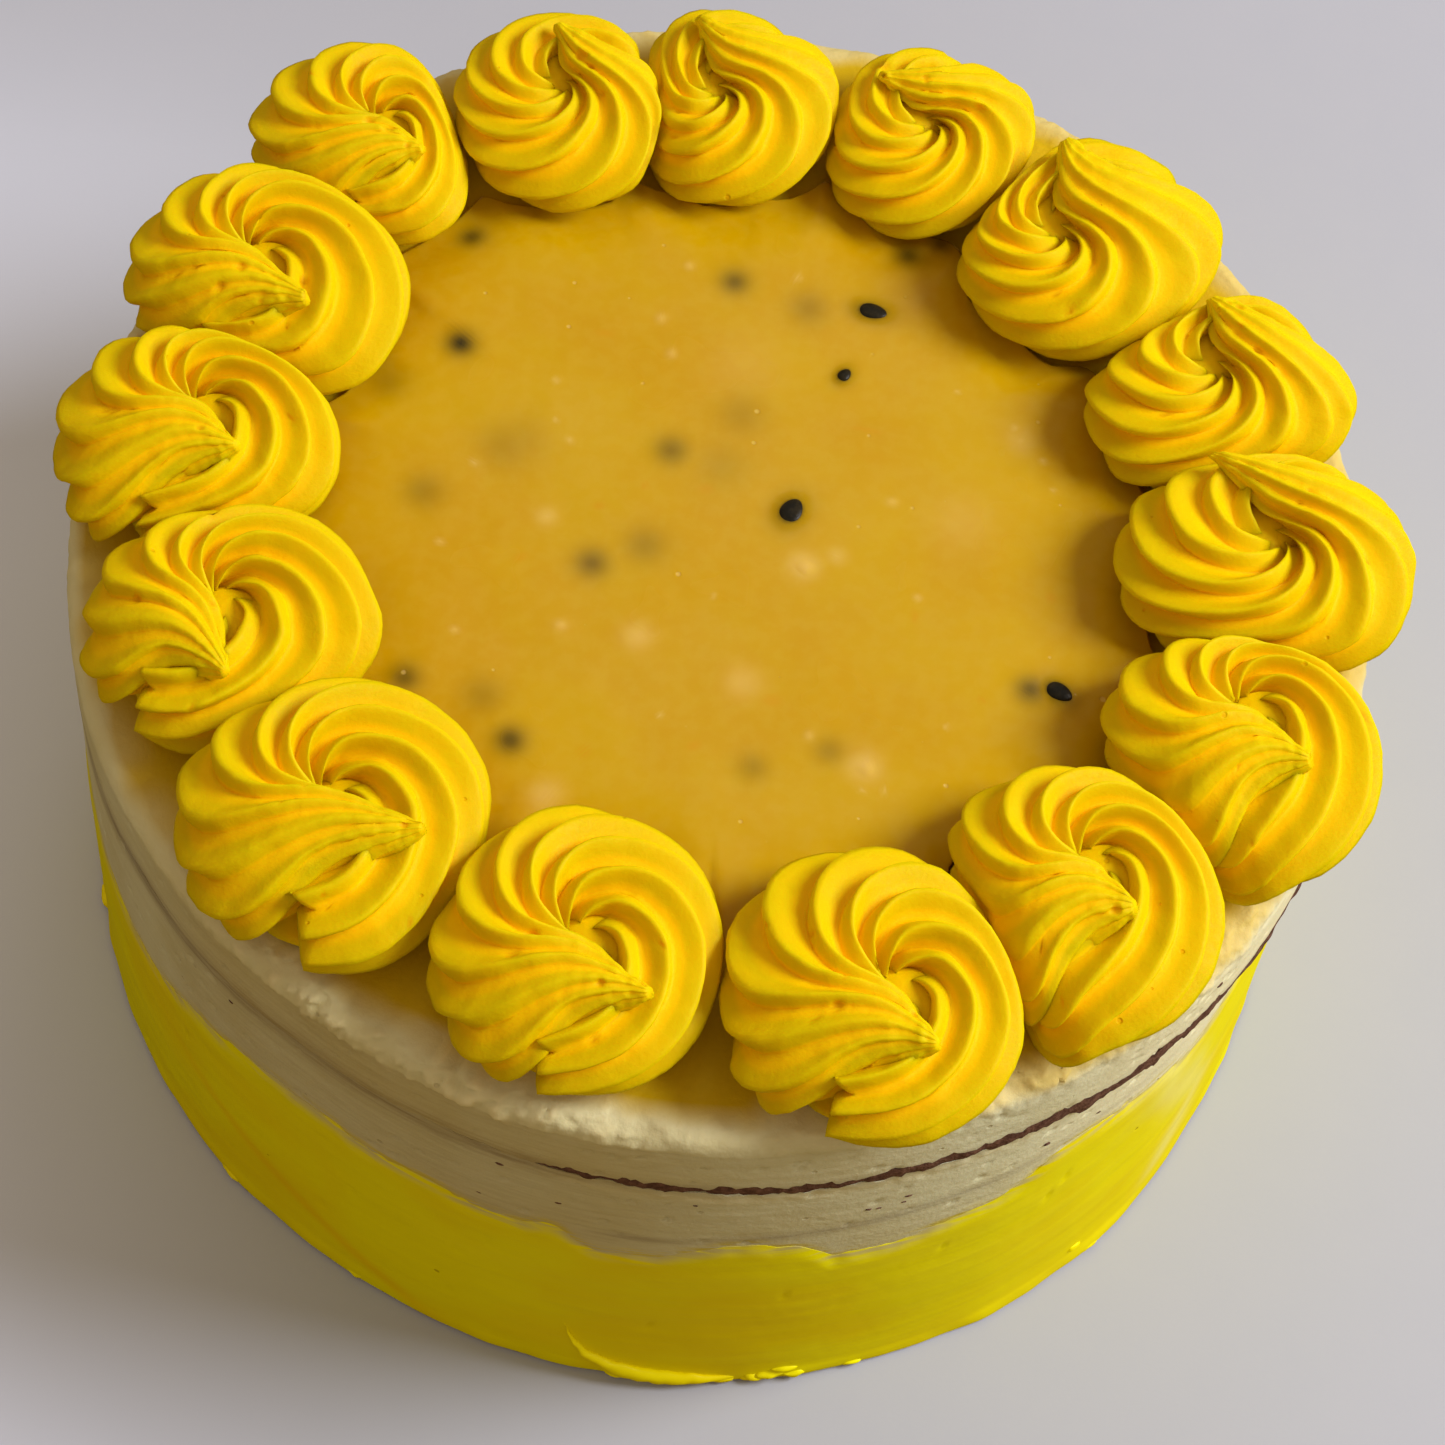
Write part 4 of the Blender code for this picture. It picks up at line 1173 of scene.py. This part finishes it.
def make_cake_body(material):
    """Creamed wall between the coat and the dark line, in one closed piece with its underside."""
    inner = lower_radius() - COAT_THICKNESS - GAP
    edge = coat_top() - COAT_LAP
    top = line_edges()[0] - HAIR + LINE_LAP * line_closed()
    height = edge + (top - edge) * np.linspace(0.0, 1.0, CREAM_ROWS)[:, None]
    place = wall_points(CAKE_RADIUS, height)
    strip = bell(height / MM - STRIP_HEIGHT, STRIP_WIDTH) * knot_values(ROUGH_STRIP)
    rough = 0.35 * strip * soft_noise(place, 1.6 * MM, 84)
    relief = (scraped(place, 82) + rough) * MM - wall_pits(height, *CREAM_PITS)
    flare = ease(height, FLARE_START, LINE_BASE) * FLARE
    out = lower_radius() + (wall_radius() - lower_radius()) * flare
    grid = np.stack([
        wall_points(inner, 0.0), wall_points(inner, edge), *wall_points(out + relief, height),
        wall_points(lower_radius() - TAPER, LINE_BASE),
    ])
    seen = {
        "shadow": show_through(height),
        "smear": ease(height - edge, SMEAR_HEIGHT, 0.0),
        # Flake: the rough pale strip, and painted light on the right side
        "flake_and_light": np.maximum(np.clip(strip, 0.0, 1.0) * 0.6, painted_side_light()),
    }
    marks = {mark: grid_mark(np.pad(values, ((2, 1), (0, 0)))) for mark, values in seen.items()}
    # The body's stain is only painted shade on the front left side
    marks["stain_and_shade"] = grid_mark(np.tile(0.20 * painted_side_shade(), len(grid)))
    shell = closed_shell(grid)
    make_piece("creamed_wall", shell, material, ("cake_body",), marks, True)


def make_dark_line(material):
    """Dark sponge layer, ragged where it shows at the wall."""
    low, high = line_edges()
    crumb = 0.22 * soft_noise(WALL_LINE, 1.5 * MM, 91)
    edge = wall_radius() + (crumb + SPONGE_PROUD - SPONGE_DRAWN_BACK * line_closed()) * MM
    within = wall_radius() - TAPER
    shell = closed_shell(np.stack([
        wall_points(within, LINE_BASE + GAP),
        wall_points(edge - SPONGE_BEVEL, low),
        wall_points(edge, 0.5 * (low + high)),
        wall_points(edge - SPONGE_BEVEL, high),
        wall_points(within, LINE_BASE + GAP + LINE_THICKNESS),
    ]))
    make_piece("sponge_line", shell, material, ("dark_layer",), None, True)


def lid_grid():
    """The lid before its rim is torn: side, rounded rim and flat top."""
    radius = wall_radius()
    low = line_edges()[1] + HAIR - LINE_LAP * line_closed()
    side = low + (RIM_START - low) * np.linspace(0.0, 1.0, SIDE_ROWS)[:, None]
    relief = scraped(wall_points(CAKE_RADIUS, side), 92) * MM - wall_pits(side, *LID_PITS)
    rows = [wall_points(radius - TAPER, LINE_BASE + LINE_THICKNESS + 2.0 * GAP)]
    rows += list(wall_points(radius + relief, side))
    for step in np.linspace(0.0, 1.0, RIM_ROWS + 1)[1:]:
        bend = 0.5 * np.pi * step
        inward = RIM_ROUND * RIM_INWARD * (1.0 - math.cos(bend)) + torn_rim() * step
        rows.append(wall_points(radius - inward, RIM_START + RIM_ROUND * math.sin(bend)))
    inside = radius - RIM_INWARD * RIM_ROUND - torn_rim() - GAP
    rows += [wall_points(np.minimum(inside, reach), CAKE_HEIGHT) for reach in TOP_RINGS]
    return np.stack(rows)


def make_cream_lid(material):
    """Cream over the dark line: torn flaky rim and the flat top under curd and swirls."""
    grid = lid_grid()
    reach = np.hypot(grid[..., 0], grid[..., 1]) - wall_radius() + CAKE_RADIUS
    level = grid[..., 2]
    zone = ease(level, RIM_START - 0.0035, RIM_START + 0.001) * ease(reach, 0.0905, 0.0955)
    flat = grid * np.array((1.0, 1.0, 0.45))
    flakes = np.abs(soft_noise(flat, 1.5 * MM, 96)) + 0.5 * np.abs(soft_noise(flat, 0.8 * MM, 97))
    lumps = soft_noise(grid, 3.4 * MM, 98)
    bump = 0.75 * lumps + 1.15 * (flakes - 0.55)
    bump = bump * knot_values(RIM_TORN) * zone
    soft = 0.22 * soft_noise(grid, 4.0 * MM, 99) * zone
    outward = np.stack([np.cos(WALL_ANGLES), np.sin(WALL_ANGLES)], axis=-1)
    grid[..., :2] += outward * ((bump + soft) * MM)[..., None] * 0.8
    grid[..., 2] += (bump * 0.6 + soft) * MM * ease(level, RIM_START, CAKE_HEIGHT)
    drag = 0.12 * soft_noise(grid * np.array((1.0, 1.0, 0.0)), 5.0 * MM, 100)
    drag = drag * MM * ease(reach, 0.070, 0.09)
    grid[..., 2] += drag * ease(level, RIM_START, CAKE_HEIGHT)
    # Curd stain with painted golden shade near the swirls; on the rim's top the least tint is painted
    # shade where it faces the light
    limit = knot_values(STAIN_AND_SHADE_LIMIT) * MM + STAIN_AND_SHADE_RAG * soft_noise(grid, 6.0 * MM, 101)
    rim_stain_and_shade = knot_values(RIM_STAIN_AND_SHADE)
    stain_and_shade = rim_stain_and_shade + (1.0 - rim_stain_and_shade) * ease(limit - reach, 0.0, STAIN_AND_SHADE_EDGE)
    on_top = ease(level, RIM_START - 0.0010, CAKE_HEIGHT - 0.0006)
    # On the side, painted shade over the front left
    stain_and_shade = stain_and_shade * on_top + 0.30 * painted_side_shade() * (1.0 - on_top)
    marks = {
        "stain_and_shade": grid_mark(stain_and_shade),
        "shadow": grid_mark(show_through(level) * (level < RIM_START)),
        # Flake: paler torn flakes on the rim, and painted light on the right side
        "flake_and_light": grid_mark(np.maximum(np.clip(bump * 1.4, 0.0, 1.0), painted_side_light() * (1.0 - on_top))),
        "smear": grid_mark(np.zeros(level.shape)),
    }
    shell = closed_shell(grid)
    make_piece("cream_lid", shell, material, ("cream_top",), marks, True)


def wall_lump(turn, radius, level, size, seed, form):
    """An uneven lump on the wall; form is its depth, width and height."""
    shape = bmesh.new()
    bmesh.ops.create_icosphere(shape, subdivisions=3, radius=1.0)
    points = np.array([vertex.co[:] for vertex in shape.verts])
    faces = [tuple(vertex.index for vertex in face.verts) for face in shape.faces]
    shape.free()
    push = 1.0 + 0.28 * soft_noise(points + seed * 3.1, 0.7, seed)
    push = push + 0.12 * soft_noise(points + seed * 1.7, 0.3, seed + 1)
    x, y, z = (points * push[:, None] * np.array(form) * (size * MM)).T
    x, y = spun(x + radius, y, turn)
    return np.column_stack([x, y, z + level * MM]), faces


def curl_shell():
    """A curl of icing pushed up by the scraper at the foot of the coat."""
    degrees, height, width = smooth_path(CURL, CURL_STEPS).T[..., None]
    angle = np.radians(degrees)
    bend = turns(CURL_COLUMNS)
    radius = lower_radius(angle) + LUMP_PROUD + (0.35 + 0.75 * np.cos(bend)) * width * MM
    grid = wall_points(radius, (height + np.sin(bend) * width) * MM, angle)
    grid = grid + 0.18 * MM * soft_noise(grid, 1.4 * MM, 111)[..., None]
    grid[..., 2] = np.maximum(grid[..., 2], FOOT_CLEARANCE)
    return closed_shell(grid)


def coat_shell():
    """The coat itself, with a lip at its foot and a thin torn upper edge."""
    inner = lower_radius() - COAT_THICKNESS
    edge = coat_top()
    share = np.linspace(0.0, 1.0, COAT_ROWS)[:, None]
    height = COAT_FOOT + (edge - COAT_THINNING - COAT_FOOT) * share
    place = wall_points(CAKE_RADIUS, height)
    ripple = 0.35 + 0.35 * soft_noise(WALL_LINE, 6.0 * MM, 112)
    lip = ripple * bell(height / MM - LIP_HEIGHT, LIP_HEIGHT)
    slow = 0.14 * soft_noise(place * np.array((1.0, 1.0, 1.6)), 22.0 * MM, 113)
    relief = scraped(place, 114) * 0.8 + lip + slow
    out = lower_radius() + COAT_PROUD + relief * MM - wall_pits(height, *COAT_PITS)
    thin = 0.5 + 0.4 * soft_noise(WALL_LINE, 3.0 * MM, 116)
    rows = [wall_points(inner, COAT_FOOT), *wall_points(out, height)]
    for step, proud in COAT_THIN_ROWS:
        level = edge - COAT_THINNING * (1.0 - step)
        rows.append(wall_points(lower_radius() + COAT_PROUD * proud * (0.6 + thin), level))
    rows.append(wall_points(inner, edge))
    return np.concatenate(rows), grid_faces(len(rows), WALL_COLUMNS, loop=True)


def coat_marks(points):
    """Where the coat is thin, warmer or paler."""
    level = points[:, 2]
    around = np.arctan2(points[:, 1], points[:, 0])
    warm = bell(level - (FOLD_LEVEL - FOLD_CLIMB * (around - FOLD_TURN)), FOLD_WIDTH)
    warm = warm * ease(around, -2.55, -2.25) * ease(around, -1.85, -2.0)
    bend = 0.10 * np.sin(level * 70.0)
    streak_at = STREAK_TURN + bend + 0.04 * soft_noise(points, 9.0 * MM, 117)
    pale = bell(around - streak_at, STREAK_WIDTH) * ease(level, 0.004, 0.012)
    thin = ease(coat_top(around) - level, SMEAR_HEIGHT, 0.0)
    return {"thin": thin, "warm": warm * 0.5, "pale": 0.5 * pale}


def make_coat(material):
    """Yellow icing scraped round the lower wall, with a curl and lumps at its foot."""
    shells = [coat_shell(), curl_shell()]
    for number, (degrees, level, size) in enumerate(FOOT_LUMPS):
        turn = math.radians(degrees)
        reach = lower_radius(turn) + LUMP_PROUD
        points, faces = wall_lump(turn, reach, level, size, 120 + number, FOOT_LUMP_FORM)
        points[:, 2] = np.maximum(points[:, 2], FOOT_CLEARANCE)
        shells.append((points, faces))
    shell = joined(shells)
    marks = coat_marks(shell[0])
    make_piece("scraped_coat", shell, material, ("yellow_coat",), marks, True)


def make_crumbs(material):
    """Dark crumbs dragged into the cream by the scraper."""
    rng = np.random.default_rng(7)
    crumbs = list(CRUMBS)
    for _ in range(BACK_CRUMBS):
        crumbs.append([rng.uniform(*span) for span in BACK_CRUMB_SPANS])
    shells = []
    for number, (degrees, level, size) in enumerate(crumbs):
        turn = math.radians(degrees)
        radius = (lower_radius(turn) if level < 75.0 else wall_radius(turn)) + CRUMB_PROUD
        shells.append(wall_lump(turn, radius, level, size, 160 + number, CRUMB_FORM))
    make_piece("sponge_crumbs", joined(shells), material)


# Curd


def curd_outline():
    """Angles round the cake and the curd's reach there, read from its solid."""
    corners = np.array([vertex.co[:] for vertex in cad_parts["passion_curd"].data.vertices])
    reach = np.hypot(corners[:, 0], corners[:, 1])
    low = (corners[:, 2] < CAKE_HEIGHT + 0.0006) & (reach > 0.02)
    angle = np.arctan2(corners[low, 1], corners[low, 0])
    order = np.argsort(angle)
    angle = angle[order]
    reach = reach[low][order]
    angle = np.concatenate([angle[-3:] - FULL_TURN, angle, angle[:3] + FULL_TURN])
    return angle, np.concatenate([reach[-3:], reach, reach[:3]])


def away_from(place, x, y):
    """Level distance from a place on top of the cake, in millimetres."""
    return np.hypot(place[..., 0] / MM - x, place[..., 1] / MM - y)


def spots(place, centres):
    """Soft round spots: x, y, radius, strength."""
    return np.max([
        strength * bell(away_from(place, x, y), radius) for x, y, radius, strength in centres
    ], axis=0)


def oval_spots(place, centres, grow, power):
    """Soft oval spots: x, y, length, width, turn; a higher power gives a clearer edge."""
    total = np.zeros(place.shape[:-1])
    for x, y, length, width, turn in centres:
        along, across = spun(place[..., 0] / MM - x, place[..., 1] / MM - y, -math.radians(turn))
        along = along / (0.5 * length * grow)
        across = across / (0.5 * width * grow)
        total = np.maximum(total, np.exp(-(along**2 + across**2)**power))
    return total


def curd_level(place, from_edge):
    """Height of the curd: nearly flat, sinking a little towards its edge."""
    level = CURD_TOP - EDGE_SINK * bell(from_edge, EDGE_REACH) + uneven(place, *CURD_WAVES) * MM
    level = level + SEED_RISE * oval_spots(place, NEAR_SEEDS, 1.1, 1.5)
    for x, y, size in BUBBLES:
        away = away_from(place, x, y) / size
        level = level + BUBBLE_RISE * size * np.clip(1.0 - away**2, 0.0, 1.0)
    return level - UNDER_SINK * ease(np.hypot(place[..., 0], place[..., 1]), *UNDER_REACH)


def make_curd(material):
    """The lake of curd between the swirls, with bubbles on it and seeds under its skin."""
    angle = turns(CURD_COLUMNS)
    reach = np.interp((angle + np.pi) % FULL_TURN - np.pi, *curd_outline()) + CURD_UNDERLAP
    share = np.linspace(0.0, 1.0, CURD_RINGS)[1:, None]
    radius = reach * (1.0 - (1.0 - share)**1.15)
    level = curd_level(wall_points(radius, CURD_TOP, angle), reach - radius)
    top = wall_points(radius, level, angle)[::-1]
    skirt = wall_points(reach, CAKE_HEIGHT + GAP, angle)
    shell = closed_shell(np.concatenate([skirt[None], top]))
    points = shell[0]
    near = oval_spots(points, NEAR_SEEDS, 1.04, 2.2)
    halo = oval_spots(points, NEAR_SEEDS, 1.45, 1.0)
    sunk = spots(points, [(x, y, 1.08 * size, 1.12 * dark) for x, y, size, dark in SUNK_SEEDS])
    rings = spots(points, [(x, y, 1.1 * size, 0.6) for x, y, size in BUBBLES])
    shade = np.maximum(sunk, 0.6 * halo)
    marks = {
        "seed_shade": np.clip(np.maximum(shade, 0.97 * near), 0.0, 0.97),
        "cloud": np.maximum(spots(points, PALE_CLOUDS), rings),
        "pulp": oval_spots(points, PULP, 1.0, 1.5),
    }
    make_piece("curd_lake", shell, material, ("passion_curd",), marks)


def make_near_seeds(material):
    """Black pips that break the curd's skin."""
    around = turns(SEED_COLUMNS)
    shells = []
    for x, y, length, width, turn in NEAR_SEEDS:
        rows = []
        for share, rise in SEED_LEVELS:
            along = 0.5 * length * share * np.cos(around) * (1.0 + SEED_POINT * np.cos(around))
            across = 0.5 * width * share * np.sin(around) * (1.0 - SEED_POINT * np.cos(around))
            along, across = spun(along, across, math.radians(turn))
            ring = np.column_stack([x + along, y + across, np.zeros(SEED_COLUMNS)]) * MM
            ring[:, 2] = CURD_TOP
            ring[:, 2] = curd_level(ring, CURD_INSIDE) + rise * MM
            rows.append(ring)
        shells.append(closed_shell(np.stack(rows)))
    make_piece("near_seeds", joined(shells), material)


# Floor, light and camera


def make_floor(material):
    mesh = bpy.data.meshes.new("table_top")
    corners = [(x * FLOOR_HALF, y * FLOOR_HALF, 0.0) for x, y in ((-1, -1), (1, -1), (1, 1), (-1, 1))]
    mesh.from_pydata(corners, [], [(0, 1, 2, 3)])
    mesh.materials.append(material)
    add_object("table_top", mesh)


def make_lights():
    world = bpy.data.worlds.new("studio")
    world.use_nodes = True
    background = world.node_tree.nodes["Background"]
    background.inputs["Color"].default_value = ROOM_COLOUR
    background.inputs["Strength"].default_value = ROOM_STRENGTH
    bpy.context.scene.world = world
    for name, place, target, size, power, colour in LIGHTS:
        light = bpy.data.lights.new(name, "AREA")
        light.shape = "DISK"
        light.size = size
        light.energy = power
        light.color = colour
        lamp = add_object(name, light)
        lamp.location = place
        lamp.rotation_euler = (Vector(target) - Vector(place)).to_track_quat("-Z", "Y").to_euler()


def make_camera():
    """The photograph's view."""
    low, high = math.cos(VIEW_ELEVATION), math.sin(VIEW_ELEVATION)
    place = Vector((0.0, -VIEW_DISTANCE * low, VIEW_DISTANCE * high + VIEW_AIM))
    forward = Vector((0.0, low, -high))
    right = Vector((1.0, 0.0, 0.0))
    up = right.cross(forward)
    columns = (
        math.cos(VIEW_ROLL) * right + math.sin(VIEW_ROLL) * up,
        -math.sin(VIEW_ROLL) * right + math.cos(VIEW_ROLL) * up,
        -forward,
    )
    camera = bpy.data.cameras.new("photo_view")
    camera.sensor_width = FILM_WIDTH
    camera.lens = VIEW_FOCAL / VIEW_SIDE * FILM_WIDTH
    camera.shift_x = (0.5 * VIEW_SIDE - VIEW_CENTRE[0]) / VIEW_SIDE
    camera.shift_y = (VIEW_CENTRE[1] - 0.5 * VIEW_SIDE) / VIEW_SIDE
    camera.clip_start = 0.01
    holder = add_object("photo_view", camera)
    turn = Matrix([[column[i] for column in columns] for i in range(3)]).to_4x4()
    holder.matrix_world = Matrix.Translation(place) @ turn
    bpy.context.scene.camera = holder


def main():
    bpy.context.scene.view_settings.view_transform = "Standard"
    for make_group in (make_mottle, make_air_pits, make_scraper_marks, make_grain):
        make_group()
    cream = make_cream_finish()
    sponge = make_sponge_finish()
    piped = make_piped_icing()
    make_cake_body(cream)
    make_dark_line(sponge)
    make_cream_lid(cream)
    make_coat(make_coat_finish())
    make_crumbs(sponge)
    for index in range(len(SWIRLS)):
        make_swirl(index, piped)
    make_curd(make_curd_finish())
    make_near_seeds(make_seed_finish())
    make_floor(make_floor_finish())
    make_lights()
    make_camera()


main()
